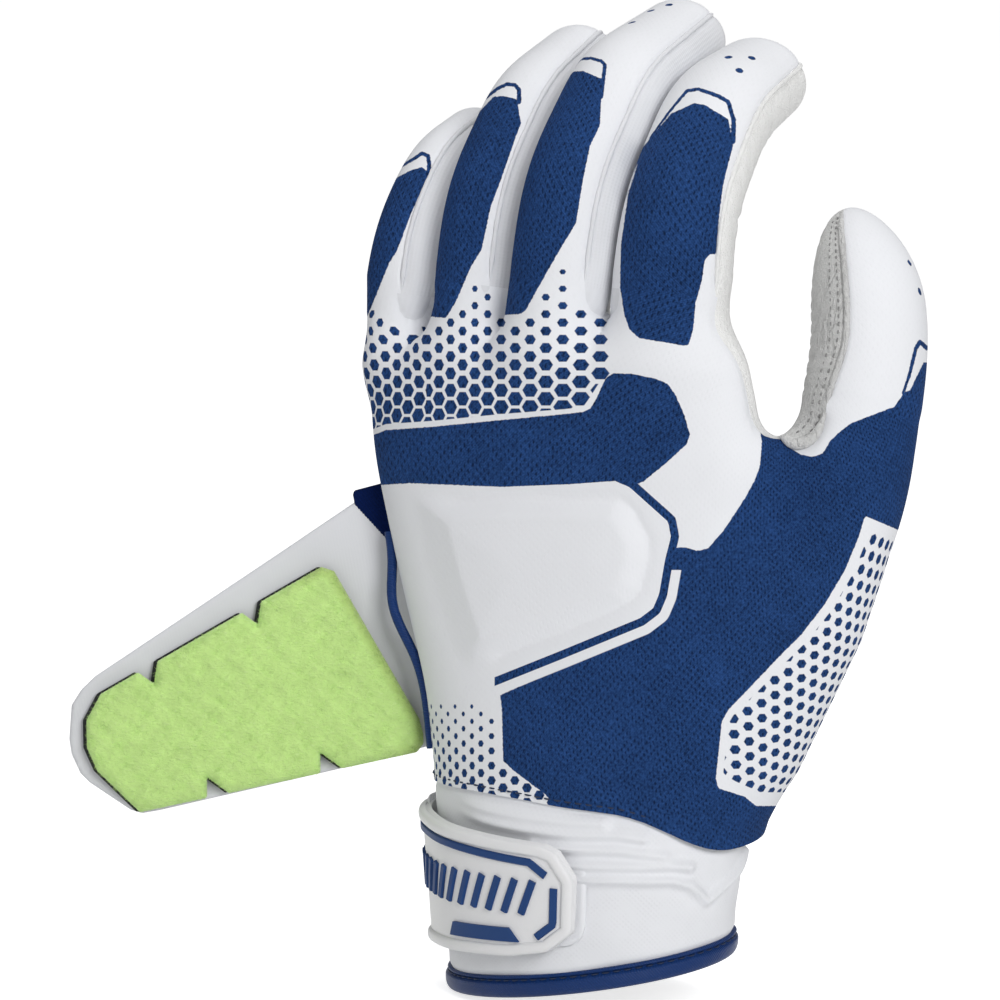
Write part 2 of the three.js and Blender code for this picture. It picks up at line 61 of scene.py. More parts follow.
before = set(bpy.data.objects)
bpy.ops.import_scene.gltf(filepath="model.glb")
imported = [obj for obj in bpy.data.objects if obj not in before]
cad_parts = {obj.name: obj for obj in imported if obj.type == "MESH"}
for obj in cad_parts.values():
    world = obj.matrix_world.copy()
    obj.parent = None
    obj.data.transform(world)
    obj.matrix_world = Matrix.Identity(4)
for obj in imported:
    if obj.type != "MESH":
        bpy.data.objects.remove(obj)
CAD_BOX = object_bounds()
MM = 0.001
SHARP_EDGE = math.radians(50)

# Hand: height, centre x, centre y, half width, half depth of its sections.
HAND = np.array([
    (0, 0, 0, 33, 24), (15, 0, 0, 34, 25), (35, 0, 0, 36, 25), (60, -0.8, 0, 38.2, 20),
    (85, -2.8, 0, 44.3, 16), (110, -6.3, 1, 47.8, 15), (130, -10.1, 3, 46.8, 14.5),
    (145, -11.1, 4, 44.6, 14.5),
], float)
KNUCKLE_HEIGHT = 138.0
KNUCKLE_SLOPE = 0.06
BINDING_HEIGHT = 5.0

# Fingers: root, lean and first curl in degrees, curls (place, spread, degrees), length, half widths, half
# depths, and the side that the palm leather wraps.
FINGERS = {
    "index": ((16.6, 4, 141), 1.35, 8, [(26, 26, 32), (52, 20, 34)], 79,
              [(0, 13.4), (12, 13.3), (25, 12.75), (40, 12.4), (60, 12.1), (79, 10.5)],
              [(0, 11), (50, 10.6), (79, 9)], 1),
    "middle": ((-8.7, 0, 142), 3, 10, [(29, 26, 32), (57, 20, 31)], 93,
               [(0, 11.4), (40, 11.4), (70, 10.9), (93, 10)], [(0, 11), (60, 10.6), (93, 9)], 0),
    "ring": ((-31, 4, 140), 2, 10, [(27, 26, 32), (53, 20, 28)], 83,
             [(0, 10.2), (62, 10.4), (83, 10)], [(0, 10.5), (52, 10), (83, 9)], 0),
    "pinky": ((-51.5, 7, 137), 3.0, 8, [(20, 24, 32), (38, 18, 30)], 61,
              [(-12, 4.5), (-4, 6.2), (3, 8.4), (11, 9.6), (45, 8.8), (61, 8.2)],
              [(0, 9.5), (40, 9), (61, 8)], -1),
}
FINGER_CUT = 8.0
FINGER_TIP = 8.0
TURNED_AWAY = math.radians(75)
FINGER_BEND = 9.0
SIDE_STRIP = 3.4
SEAM_STITCH = 1.1
INNER_STRIP = {"middle": 6.4, "ring": 8.0, "pinky": 8.8}
THUMB_CUT = 96.0
THUMB_JOINT = 104.0
THUMB_BEND = 8.0
THUMB_SEAM = 3.5

# The print lies flat on a plane turned 30 degrees to the thumb side and tipped back 8, seen from 1300 mm.
TURN, TIP = math.radians(30), math.radians(8)
PLANE_RIGHT = np.array([math.cos(TURN), math.sin(TURN), 0])
PLANE_UP = np.array([-math.sin(TURN) * math.sin(TIP), math.cos(TURN) * math.sin(TIP), math.cos(TIP)])
PLANE_OUT = np.array([math.sin(TURN) * math.cos(TIP), -math.cos(TURN) * math.cos(TIP), math.sin(TIP)])
VIEW_DISTANCE = 1300.0
VIEW_CENTRE = (-19.8, 102.3)
VIEW_WIDTH = 220.0

# Blue shapes of the print on that plane.
BLUE_SHAPES = {
    "index": [(22.9, 189.6), (25.3, 189.2), (30.4, 186.1), (31.5, 180.4), (29.3, 171.8), (28.4, 164.6),
              (27.7, 156.4), (26.4, 156.4), (25.3, 155.1), (24.6, 150.5), (23.3, 146.1), (22.7, 139.9),
              (21.8, 136.6), (20.9, 136.2), (10.8, 137.9), (8.6, 139.9), (7.5, 143.2), (6.6, 148.9),
              (6.8, 158.4), (8.4, 169.6), (11.4, 179.3), (13.0, 181.7), (18.0, 187.4)],
    "middle": [(-5.1, 196.5), (-1.5, 196.7), (2.6, 194.9), (2.2, 184.8), (0.0, 180.2), (-1.3, 174.0),
               (-2.6, 166.3), (-3.1, 163.2), (-5.9, 158.6), (-9.2, 152.9), (-12.3, 147.4), (-14.1, 144.1),
               (-15.4, 143.2), (-18.9, 143.0), (-20.2, 143.7), (-21.1, 145.6), (-21.3, 148.3),
               (-20.9, 156.0), (-19.4, 164.1), (-17.2, 174.0), (-14.1, 181.9), (-9.5, 190.5),
               (-6.8, 194.3)],
    "ring": [(-21.3, 191.0), (-19.1, 191.2), (-16.1, 190.5), (-15.2, 185.2), (-16.5, 181.7), (-19.6, 172.7),
             (-21.8, 167.0), (-23.8, 157.5), (-26.2, 153.6), (-29.5, 145.9), (-31.7, 142.3), (-36.3, 142.8),
             (-35.6, 149.4), (-34.5, 158.4), (-32.6, 167.4), (-29.9, 176.0), (-26.6, 183.5),
             (-24.0, 188.1)],
    "pinky": [(-39.8, 174.7), (-37.0, 175.6), (-35.4, 174.2), (-37.0, 170.5), (-39.4, 165.2),
              (-41.6, 159.3), (-42.5, 157.1), (-44.2, 154.4), (-47.3, 146.7), (-49.3, 141.9),
              (-53.9, 139.7), (-53.9, 159.5), (-47.3, 170.5)],
    "band": [(-55.0, 116.2), (-47.7, 116.6), (-44.9, 117.7), (-34.8, 118.4), (-19.6, 119.9), (-5.5, 121.2),
             (-1.5, 121.7), (0.0, 122.3), (1.1, 124.1), (3.5, 129.1), (5.1, 130.2), (9.7, 130.0),
             (14.7, 128.9), (17.2, 127.8), (18.7, 125.6), (20.7, 121.2), (22.0, 116.6), (21.3, 114.6),
             (16.7, 110.4), (11.7, 106.3), (8.6, 105.2), (5.5, 106.5), (-4.4, 105.8), (-19.6, 105.2),
             (-39.8, 106.0), (-46.2, 105.6), (-55.0, 105.4)],
    "heel": [(-19.8, 59.4), (8.0, 71.4), (13.0, 74.2), (15.3, 76.8), (16.6, 81.4), (17.8, 88.8),
             (18.6, 91.8), (20.7, 91.9), (23.8, 91.1), (26.0, 91.7), (29.3, 95.5), (33.4, 101.6),
             (36.1, 106.3), (37.4, 109.8), (37.8, 114.8), (37.4, 118.1), (42.2, 115.5), (44.4, 113.5),
             (46.6, 112.2), (49.1, 111.8), (51.3, 112.6), (52.8, 115.3), (55.0, 117.3), (57.4, 119.2),
             (61.6, 120.8), (66.9, 122.8), (69.3, 126.1), (70.4, 126.4), (73.4, 132.6), (82.5, 132.0),
             (82.5, 89.1), (66.9, 96.1), (60.5, 98.8), (59.2, 94.4), (56.1, 86.9), (51.7, 79.4),
             (46.4, 72.6), (41.1, 67.3), (35.9, 61.8), (30.4, 56.1), (29.0, 53.5), (27.7, 41.1),
             (28.2, 38.9), (34.1, 37.0), (36.5, 35.0), (46.2, 35.0), (46.2, 18.7), (-6.6, 18.7),
             (-3.7, 29.7), (-9.7, 37.4), (-16.7, 42.7), (-19.1, 44.9), (-19.4, 56.5)],
}
# Thin printed lines: path and half width at both ends.
BLUE_LINES = {
    "index": ([(13.2, 181.9), (17.2, 187.4), (21.3, 192.3), (23.8, 192.7), (28.2, 191.2), (30.4, 189.9),
               (31.6, 185.9), (31.5, 181.2)], 0.2, 0.55),
    "middle": ([(-4.2, 198.7), (-2.4, 199.3), (0.2, 199.5), (2.4, 198.9), (3.3, 198.0), (2.9, 194.7),
                (2.4, 191.0)], 0.25, 0.5),
    "ring": ([(-25.6, 188.6), (-20.5, 192.7), (-18.3, 193.8), (-16.5, 193.6), (-15.6, 192.5),
              (-15.6, 189.9)], 0.25, 0.5),
    "pinky": ([(-43.5, 174.6), (-38.5, 177.5), (-37.0, 178.6), (-35.6, 178.0), (-35.4, 176.4),
               (-35.4, 174.2)], 0.25, 0.5),
    "thumb": ([(68.9, 125.8), (70.2, 129.6), (71.7, 135.7), (72.6, 137.1), (74.1, 135.7)], 0.3, 0.5),
}
# White area round the cushion, which a blue line and a white line follow.
PAD_AREA = [(8.6, 105.2), (17.2, 97.5), (17.8, 94.2), (16.5, 89.1), (15.2, 81.6), (13.9, 78.5),
            (11.0, 76.3), (-7.0, 68.9), (-22.0, 62.9), (-63.8, 46.2), (-63.8, 105.6), (-39.8, 106.0),
            (-19.6, 105.2), (-4.4, 105.8), (5.5, 106.5)]
PAD_LINE = 1.8
PAD_WHITE_LINE = 3.9
PAD_LINE_LEFT = -21.0
PAD_WHITE_TOP = 86.9
CUSHION = [(-36.6, 101.6), (-18.7, 103.2), (6.2, 102.5), (9.2, 99.9), (12.5, 93.5), (12.5, 89.1),
           (10.6, 82.5), (7.7, 79.4), (-6.6, 73.3), (-22.0, 67.5), (-25.5, 67.1), (-27.7, 69.7),
           (-32.4, 84.7)]
CUSHION_LEFT = [(67.1, -25.5), (69.7, -27.7), (84.7, -32.4), (101.6, -36.6)]
# Ends of the side strips between the fingers.
WEBS = [
    [(-44.3, 160.0), (-43.1, 152.9), (-42.3, 146.5), (-41.9, 143.9), (-40.7, 142.4), (-38.4, 141.8),
     (-36.3, 142.6), (-35.3, 145.0), (-34.2, 150.7), (-32.4, 160.0)],
    [(-25.2, 160.0), (-24.4, 152.9), (-23.9, 148.8), (-23.1, 147.7), (-22.2, 148.3), (-21.6, 152.9),
     (-20.9, 160.0)],
    [(-1.9, 160.0), (-1.3, 152.9), (-0.9, 146.9), (0.4, 144.0), (2.2, 142.9), (4.0, 142.9), (5.4, 144.2),
     (6.4, 147.6), (6.7, 152.9), (7.0, 160.0)],
]
# Graded hexagon dots: area on the plane, widths of a column (place, width), row height, half size from the
# top to the bottom as a share of a row, and the place left of which columns keep one width on the skin.
DOT_AREAS = [
    ([(-55.0, 156.0), (-47.6, 152.0), (-46.9, 146.5), (-44.0, 142.9), (-43.5, 141.3), (-38.9, 140.8),
      (-36.3, 141.3), (-31.7, 141.0), (-27.5, 146.3), (-25.3, 151.0), (-21.0, 151.0), (-20.5, 142.0),
      (-14.6, 141.8), (-9.9, 149.6), (-4.4, 156.5), (-2.2, 156.0), (-2.0, 146.3), (0.6, 142.0),
      (4.9, 141.4), (5.9, 131.3), (3.5, 130.5), (0.2, 125.2), (-1.5, 122.8), (-5.5, 122.3), (-19.6, 121.2),
      (-34.8, 119.7), (-44.9, 119.0), (-47.7, 117.9), (-55.0, 117.5)],
     [(-56, 1.5), (-50, 2.0), (-40, 2.35), (-25, 2.75), (-12, 3.4), (0, 4.3), (8, 4.5)],
     3.72, (153, 0.14), (123, 0.415), -36, 2.5),
    ([(-40.0, 58.2), (-22.0, 57.2), (-20.2, 55.0), (-20.0, 45.6), (-16.7, 43.2), (-9.7, 37.9), (-3.7, 30.3),
      (-6.6, 25.3), (-40.0, 27.5)],
     [(-38.9, 1.55), (-30, 1.95), (-20, 2.55), (-5, 2.9)],
     3.25, (57, 0.14), (38, 0.315), -24, 2.5),
]
# Dots on the outside of the thumb's root follow the thumb: area on the plane, pitch, half size, radius.
THUMB_DOTS = [(68.5, 93.9), (61.8, 95.6), (60.9, 93.6), (57.8, 86.0), (53.4, 78.4), (47.9, 71.4),
              (42.4, 66.0), (37.2, 60.5), (31.7, 55.2), (30.5, 53.2), (29.3, 42.1), (32.0, 40.4),
              (37.5, 38.0), (60.0, 38.0)]
THUMB_DOT_PITCH = 3.3
THUMB_DOT_SIZE = 0.285
THUMB_DOT_RADIUS = 16.5
# Width of a honeycomb column for a row of height 1.
HEX_WIDE = math.sqrt(3)
# Above this height dots keep to the plane everywhere.
TURN_TOP = 146.0
# Single dots at the fingertips.
TIP_DOTS = [(30.6, 199.7), (35.6, 199.4), (33.0, 196.9), (8.3, 209.4), (9.2, 207.4), (12.8, 211.6),
            (13.4, 210.0), (17.4, 211.3), (70.2, 154.4), (72.5, 148.2)]
TIP_DOT_RADIUS = 0.88
TIP_DOT_NEAR = 0.8

# Strap on the cuff: places run along the wrist from the middle of its back, up, and out.
TAB_OUTLINE = [(-47, 3.6), (-17, 5.8), (-3, 7.0), (4.6, 8.8), (9.2, 13.6), (9.4, 25.4), (6.2, 31.0),
               (3.6, 32.4), (-16, 33.4), (-47, 34.4)]
LAYERS = (0.3, 1.5, 2.7)

# Leaf on the little finger edge, in its own plane: outward from the hinge and down the hinge.
LEAF_TOP = np.array([-55.2, 1.0, 104.0])
LEAF_DOWN = np.array([0.21515, -0.01655, -0.97644])
LEAF_OUT = np.array([-0.875, -0.447, -0.185])
LEAF = [(-5, 16), (5.2, 4.0), (25, 12.7), (70, 32.2), (73.6, 34.6), (76.4, 37.6), (78.3, 45), (78.4, 48.5),
        (77.2, 53), (75.5, 55.4), (67.5, 63), (65, 64.2), (61, 64.2), (19, 62), (-5, 60.2)]
LEAF_CORNER = [(-2.2, 1.0), (5.2, 1.6), (5.7, 2.4), (5.7, 4.9), (-2.2, 17.4)]
FELT_TOP = ((15.2, 17.0), (69, 36.2))
FELT_LOW = ((65, 63.7), (1.6, 61.2))
FELT_END = [(73.2, 41.5), (74.2, 47.5), (72.8, 53)]
FELT_CUTS = (0.28, 0.75), (0.25, 0.66)
FELT_HINGE = [(-0.2, 59.6), (-0.5, 57.4), (-0.2, 54.0), (12.6, 18.4)]
LEAF_LAYERS = (0.0, 1.2, 1.5, 2.9, 3.2)
FOAM_SHIFT = (1.0, -0.15)
FELT_RISE, FELT_ROUND = 1.9, 2.8
FIBRE_RADIUS = 0.04


def metres(name, text, default):
    """Property for a length in metres."""
    return bpy.props.FloatProperty(name=name, description=text, default=default, unit="LENGTH")


def paint(name, text, default):
    """Property for an opaque colour."""
    return bpy.props.FloatVectorProperty(
        name=name, description=text, subtype="COLOR", size=4, default=(*default, 1))


class GloveSizes(bpy.types.PropertyGroup):
    """Sizes that a user would change."""
    skin: metres("Skin", "Thickness of knit and leather", 0.0011)
    net_step: metres("Net step", "Width of the hand skin's faces", 0.0008)
    seam_depth: metres("Seam depth", "How far a seam draws the skin in", 0.0005)
    cushion_rise: metres("Cushion rise", "Height of the cushion on the back", 0.0017)
    stitch: metres("Stitch", "Length of one stitch", 0.0018)
    thread: metres("Thread", "Thickness of the sewing thread", 0.00042)
    knit_pitch: metres("Knit pitch", "Distance between the knit's pin holes", 0.0017)
    felt_fibres: bpy.props.IntProperty(
        name="Felt fibres", description="Number of loose fibres on the felt", default=14000)


class GloveColours(bpy.types.PropertyGroup):
    """Colours that a user would change."""
    white: paint("White", "White knit and film", (0.83, 0.84, 0.87))
    blue: paint("Blue", "Blue of print and binding", (0.018, 0.058, 0.19))
    leather: paint("Leather", "Palm leather", (0.89, 0.89, 0.88))
    lime: paint("Felt", "Felt of the leaf's pad", (0.62, 0.90, 0.29))
    foam: paint("Foam", "Foam and hook patch", (0.012, 0.013, 0.015))
    rubber: paint("Rubber", "Moulded strap tab", (0.80, 0.80, 0.81))
    floor: paint("Floor", "Floor under the glove", (0.9, 0.9, 0.9))


def size(name):
    """A size of the scene in millimetres."""
    return getattr(bpy.context.scene.glove_sizes, name) / MM


def colour(name):
    """A colour of the scene as a plain tuple."""
    return tuple(getattr(bpy.context.scene.glove_colours, name))


# ---------------------------------------------------------------- sums on arrays

def smooth(x):
    """Eased step from 0 to 1."""
    x = np.clip(x, 0, 1)
    return x * x * (3 - 2 * x)


def bell(x):
    """Hump of height 1 round zero."""
    return np.exp(-np.square(x))


def unit(v):
    """Vectors brought to length 1."""
    v = np.asarray(v, float)
    return v / np.maximum(np.linalg.norm(v, axis=-1, keepdims=True), 1e-9)


def rounded(depth, reach):
    """Quarter round: 0 at an edge, 1 from a reach inwards."""
    return np.sqrt(np.clip(1 - (1 - np.clip(depth / reach, 0, 1)) ** 2, 0, 1))


def run_of(path):
    """Length along a path at each of its points."""
    return np.concatenate([[0], np.cumsum(np.linalg.norm(np.diff(path, axis=0), axis=1))])


def circle(count):
    """Points round a circle of radius 1."""
    turn = np.linspace(0, 2 * np.pi, count, endpoint=False)
    return np.stack([np.cos(turn), np.sin(turn)], 1)


def evened(line, weights):
    """Points of a line as means of their neighbours."""
    more = len(weights) // 2
    return np.stack([np.convolve(np.pad(c, more, mode="edge"), weights, "valid") for c in line.T], 1)


def join_soft(a, b, width):
    """Lesser of two distances, rounded off where they are nearly equal."""
    h = np.maximum(width - np.abs(a - b), 0) / width
    return np.minimum(a, b) - h * h * width / 4


def inside(points, outline):
    """Signed distance to a closed outline in a plane, less than zero within it."""
    start = np.asarray(outline, float)
    end = np.roll(start, -1, axis=0)
    best = np.full(len(points), 1e9)
    odd = np.zeros(len(points), bool)
    for a, b in zip(start, end):
        d, q = b - a, points - a
        t = np.clip(q @ d / (d @ d), 0, 1)
        best = np.minimum(best, np.square(q - t[:, None] * d).sum(1))
        spans = (a[1] > points[:, 1]) != (b[1] > points[:, 1])
        slope = d[0] / (d[1] if abs(d[1]) > 1e-9 else 1e-9)
        odd ^= spans & (points[:, 0] < a[0] + (points[:, 1] - a[1]) * slope)
    return np.sqrt(best) * np.where(odd, -1, 1)


def beside(points, path, first, last):
    """Distance to a path in a plane less its half width, which changes evenly along it."""
    path = np.asarray(path, float)
    length = run_of(path)
    best = np.full(len(points), 1e9)
    for a, b, s0, s1 in zip(path[:-1], path[1:], length[:-1], length[1:]):
        d, q = b - a, points - a
        t = np.clip(q @ d / (d @ d), 0, 1)
        far = np.linalg.norm(q - t[:, None] * d, axis=1)
        best = np.minimum(best, far - first - (last - first) * (s0 + t * (s1 - s0)) / length[-1])
    return best


def on_plane(points):
    """Place of points on the print's plane: right and up, seen from its fixed distance."""
    near = VIEW_DISTANCE / (VIEW_DISTANCE - points @ PLANE_OUT)
    right = (points @ PLANE_RIGHT - VIEW_CENTRE[0]) * near + VIEW_CENTRE[0]
    up = (points @ PLANE_UP - VIEW_CENTRE[1]) * near + VIEW_CENTRE[1]
    return np.stack([right, up], 1)


# ---------------------------------------------------------------- forms of hand, fingers and thumb

ROUND = 12
TABLE_Z = np.arange(-20.0, 166.0)
TABLE = np.stack([
    np.convolve(np.interp(np.arange(-20.0 - ROUND, 166.0 + ROUND), HAND[:, 0], column),
                np.hanning(2 * ROUND + 1) / np.hanning(2 * ROUND + 1).sum(), "valid")
    for column in HAND[:, 1:].T])


def section(z):
    """Centre and half sizes of the hand's oval at heights z, from a rounded-off table."""
    return [np.interp(z, TABLE_Z, row) for row in TABLE]


class Digit:
    """Finger or thumb: an oval tube whose middle line bends in one plane.

    Places are s along, w aside, n to the nail.
    """

    low_end = 7.0

    def __init__(self, root, along, nail, start, curls, length, width, depth, tip):
        self.root = np.asarray(root, float)
        self.up = unit(along)
        nail = np.asarray(nail, float)
        self.back = unit(nail - (nail @ self.up) * self.up)
        self.side = np.cross(self.up, self.back)
        self.length, self.tip = length, tip
        self.width, self.depth = np.asarray(width, float), np.asarray(depth, float)
        self.s = np.linspace(-30, length + 20, 1201)
        bend = start + sum(turn * smooth((self.s - place) / spread + 0.5) for place, spread, turn in curls)
        self.bend = np.radians(bend)
        step = np.diff(self.s)
        self.u, self.v = (
            np.concatenate([[0], np.cumsum((f[1:] + f[:-1]) / 2 * step)])
            for f in (np.cos(self.bend), -np.sin(self.bend)))
        self.u -= np.interp(0, self.s, self.u)
        self.v -= np.interp(0, self.s, self.v)

    def half(self, s):
        """Half width and half depth at s."""
        return np.interp(s, *self.width.T), np.interp(s, *self.depth.T)

    def frame(self, s):
        """Middle point, direction along and direction to the nail at s."""
        s = np.asarray(s, float)
        u, v, f = (np.interp(s, self.s, row)[..., None] for row in (self.u, self.v, self.bend))
        along = np.cos(f) * self.up - np.sin(f) * self.back
        nail = np.cos(f) * self.back + np.sin(f) * self.up
        return self.root + u * self.up + v * self.back, along, nail

    def at(self, s, w, n):
        """Point at place (s, w, n)."""
        centre, _, nail = self.frame(s)
        return centre + np.asarray(w)[..., None] * self.side + np.asarray(n)[..., None] * nail

    def local(self, points):
        """Place (s, w, n) of points: s is found by sliding along the middle line."""
        q = points - self.root
        u, v, w = q @ self.up, q @ self.back, q @ self.side
        s = np.clip(np.hypot(u, v) * np.sign(u), self.s[0], self.s[-1])
        for _ in range(9):
            f = np.interp(s, self.s, self.bend)
            du, dv = u - np.interp(s, self.s, self.u), v - np.interp(s, self.s, self.v)
            s = np.clip(s + 0.9 * (du * np.cos(f) - dv * np.sin(f)), self.s[0], self.s[-1])
        f = np.interp(s, self.s, self.bend)
        du, dv = u - np.interp(s, self.s, self.u), v - np.interp(s, self.s, self.v)
        return s, w, du * np.sin(f) + dv * np.cos(f)

    def field(self, points):
        """Distance to the oval tube with its round end, and s."""
        s, w, n = self.local(points)
        a, b = self.half(s)
        e = np.maximum(0, (s - self.length + self.tip) / self.tip)
        low = np.maximum(0, (-self.low_end - s) / self.low_end)
        r = np.sqrt((w / a) ** 2 + (n / b) ** 2 + e ** 2 + low ** 2)
        g = np.sqrt((w / a ** 2) ** 2 + (n / b ** 2) ** 2 + (e / self.tip) ** 2 + (low / self.low_end) ** 2)
        return (r - 1) / np.maximum(g / np.maximum(r, 1e-6), 1e-3), s


DIGITS = {
    name: Digit(root, (math.sin(math.radians(lean)), 0, math.cos(math.radians(lean))), (0, -1, 0),
                start, curls, length, width, depth, FINGER_TIP)
    for name, (root, lean, start, curls, length, width, depth, _) in FINGERS.items()}
THUMB = Digit((21, 4, 35.5), (22.4, 8, 47.2), (0.97, -0.24, 0), 0, [(78, 36, 24), (117, 36, 28)], 143.5,
              [(0, 15), (20, 18), (52, 17), (71, 14), (90, 13), (120, 12.6), (141, 11)],
              [(0, 15), (20, 18), (52, 17), (71, 14), (90, 13), (120, 12), (141, 10)], 22.0)
FINGER_FILLET, THUMB_FILLET, CROWN_FILLET, WEB_FILLET = 7.0, 11.0, 8.0, 7.0
# Fields of fingers are worked out above a height and within a reach aside, the thumb's beyond an x.
FINGER_ZONE, FINGER_REACH, THUMB_ZONE, FAR = 115, 24, -8, 99.0
THUMB_LEAN = math.atan2(THUMB.up @ PLANE_RIGHT, THUMB.up @ PLANE_UP)
LIP_LEFT = 42.0
THUMB_FACING = np.array([0.96, -0.2, -0.2])
# Folds that the palm takes on in use: lines over x and height.
PALM_FOLDS = [[(30, 121), (10, 113), (-14, 116), (-44, 127)], [(31, 113), (8, 101), (-18, 95), (-38, 93)],
              [(30, 110), (14, 97), (5, 80), (6, 58)]]
# Web between index root and thumb: a rod from the hand's edge to the thumb.
WEB_START, WEB_END, WEB_RADIUS = np.array([33.0, 3.0, 111.0]), np.array([54.0, 16.0, 112.2]), 6.8


def hand_field(points):
    """Distance to the hand's boxy ovals, closed under the fingers."""
    cx, cy, a, b = section(points[:, 2])
    power = 2 + 0.35 * smooth((points[:, 2] - 30) / 40)
    x, y = np.abs(points[:, 0] - cx) / a, np.abs(points[:, 1] - cy) / b
    r = np.maximum((x ** power + y ** power) ** (1 / power), 1e-6)
    g = np.hypot((x / r) ** (power - 1) / a, (y / r) ** (power - 1) / b)
    top = points[:, 2] - KNUCKLE_HEIGHT - KNUCKLE_SLOPE * points[:, 0]
    return -join_soft(-(r - 1) / np.maximum(g, 1e-3), -top, CROWN_FILLET)


def digit_fields(points):
    """Least finger distance with its s, then the thumb's distance with its s."""
    finger, place = np.full(len(points), FAR), np.full(len(points), -FAR)
    high = np.flatnonzero(points[:, 2] > FINGER_ZONE)
    for digit in DIGITS.values():
        near = high[np.abs((points[high] - digit.root) @ digit.side) < FINGER_REACH]
        d, s = digit.field(points[near])
        better = d < finger[near]
        finger[near[better]], place[near[better]] = d[better], s[better]
    thumb, along = np.full(len(points), FAR), np.full(len(points), -FAR)
    near = np.flatnonzero(points[:, 0] > THUMB_ZONE)
    thumb[near], along[near] = THUMB.field(points[near])
    return finger, place, thumb, along


def glove_field(points):
    """Distance to hand, fingers and thumb joined with soft fillets."""
    finger, _, thumb, along = digit_fields(points)
    whole = join_soft(hand_field(points), finger, FINGER_FILLET)
    whole = join_soft(whole, thumb, 0.05 + THUMB_FILLET * smooth((THUMB_CUT - 2 - along) / 22))
    rod, from_start = WEB_END - WEB_START, points - WEB_START
    t = np.clip(from_start @ rod / (rod @ rod), 0, 1)
    web = np.linalg.norm(from_start - t[:, None] * rod, axis=1) - WEB_RADIUS
    return join_soft(whole, web, WEB_FILLET)


def gradient(field, points, reach=0.05):
    """Slope of a distance field."""
    steps = reach * np.eye(3)
    return np.stack([field(points + e) - field(points - e) for e in steps], 1) / (2 * reach)


def net(field, low, high, step, coarse=4):
    """Surface where a field is zero: one point in each cell that it crosses, at the mean of the crossed
    edges, and one four-sided face round each crossed edge."""
    low = np.asarray(low, float)
    rough_count = np.ceil((np.asarray(high, float) - low) / (step * coarse)).astype(int)
    count = rough_count * coarse
    centre = np.stack(np.meshgrid(*map(np.arange, rough_count), indexing="ij"), -1).reshape(-1, 3) + 0.5
    rough = field(low + centre * step * coarse).reshape(rough_count)
    value = np.pad(rough.repeat(coarse, 0).repeat(coarse, 1).repeat(coarse, 2), (0, 1), mode="edge")
    near = np.argwhere(np.abs(value) < step * coarse * 1.1 + 1)
    value[tuple(near.T)] = field(low + near * step)
    within = value < 0
    corners = np.stack(np.meshgrid([0, 1], [0, 1], [0, 1], indexing="ij"), -1).reshape(-1, 3)
    part = lambda c: tuple(slice(o, o + m) for o, m in zip(c, count))
    filled = sum(within[part(c)].astype(np.int8) for c in corners)
    crossed = (filled > 0) & (filled < 8)
    cells = np.argwhere(crossed)
    number = np.full(count, -1)
    number[crossed] = np.arange(len(cells))
    total, hits = np.zeros((len(cells), 3)), np.zeros((len(cells), 1))
    for a in corners:
        for axis in np.flatnonzero(a == 0):
            b = a + np.eye(3, dtype=int)[axis]
            va, vb = value[tuple((cells + a).T)], value[tuple((cells + b).T)]
            change = ((va < 0) != (vb < 0))[:, None]
            t = (va / np.where(va == vb, 1, va - vb))[:, None]
            total += np.where(change, a + t * (b - a), 0)
            hits += change
    points = low + step * (cells + total / hits)
    faces = []
    for axis in range(3):
        one, two = np.eye(3, dtype=int)[[(axis + 1) % 3, (axis + 2) % 3]]
        first = np.moveaxis(within, axis, 0)
        edges = np.argwhere(np.moveaxis(first[:-1] != first[1:], 0, axis))
        sides = [(axis + 1) % 3, (axis + 2) % 3]
        edges = edges[np.all((edges[:, sides] > 0) & (edges[:, sides] < count[sides]), axis=1)]
        quad = np.stack([number[tuple((edges + shift).T)] for shift in (-one - two, -two, 0 * one, -one)], 1)
        flip = ~within[tuple(edges.T)]
        quad[flip] = quad[flip][:, ::-1]
        faces.append(quad)
    return points, np.concatenate(faces)


def clip(points, faces, keep):
    """Triangles cut along keep = 0, with the part above zero kept."""
    keep = np.where(np.abs(keep) < 1e-5, 1e-5, keep)
    above = keep[faces] > 0
    count = above.sum(1)
    one, two = faces[count == 1], faces[count == 2]
    turn = lambda f, k: np.take_along_axis(f, (k[:, None] + np.arange(3)) % 3, axis=1)
    one = turn(one, above[count == 1].argmax(1))
    two = turn(two, (~above[count == 2]).argmax(1))
    pairs = np.concatenate([one[:, [0, 1]], one[:, [0, 2]], two[:, [0, 1]], two[:, [0, 2]]])
    unique, where = np.unique(np.sort(pairs, axis=1), axis=0, return_inverse=True)
    where = where.ravel() + len(points)
    t = keep[unique[:, 0]] / (keep[unique[:, 0]] - keep[unique[:, 1]])
    added = points[unique[:, 0]] + t[:, None] * (points[unique[:, 1]] - points[unique[:, 0]])
    a, b, c, d = np.split(where, np.cumsum([len(one), len(one), len(two)]))
    cut = np.concatenate([
        faces[count == 3], np.stack([one[:, 0], a, b], 1),
        np.stack([c, two[:, 1], two[:, 2]], 1), np.stack([c, two[:, 2], d], 1)])
    used, cut = np.unique(cut, return_inverse=True)
    return np.concatenate([points, added])[used], cut.reshape(-1, 3)


# ---------------------------------------------------------------- meshes

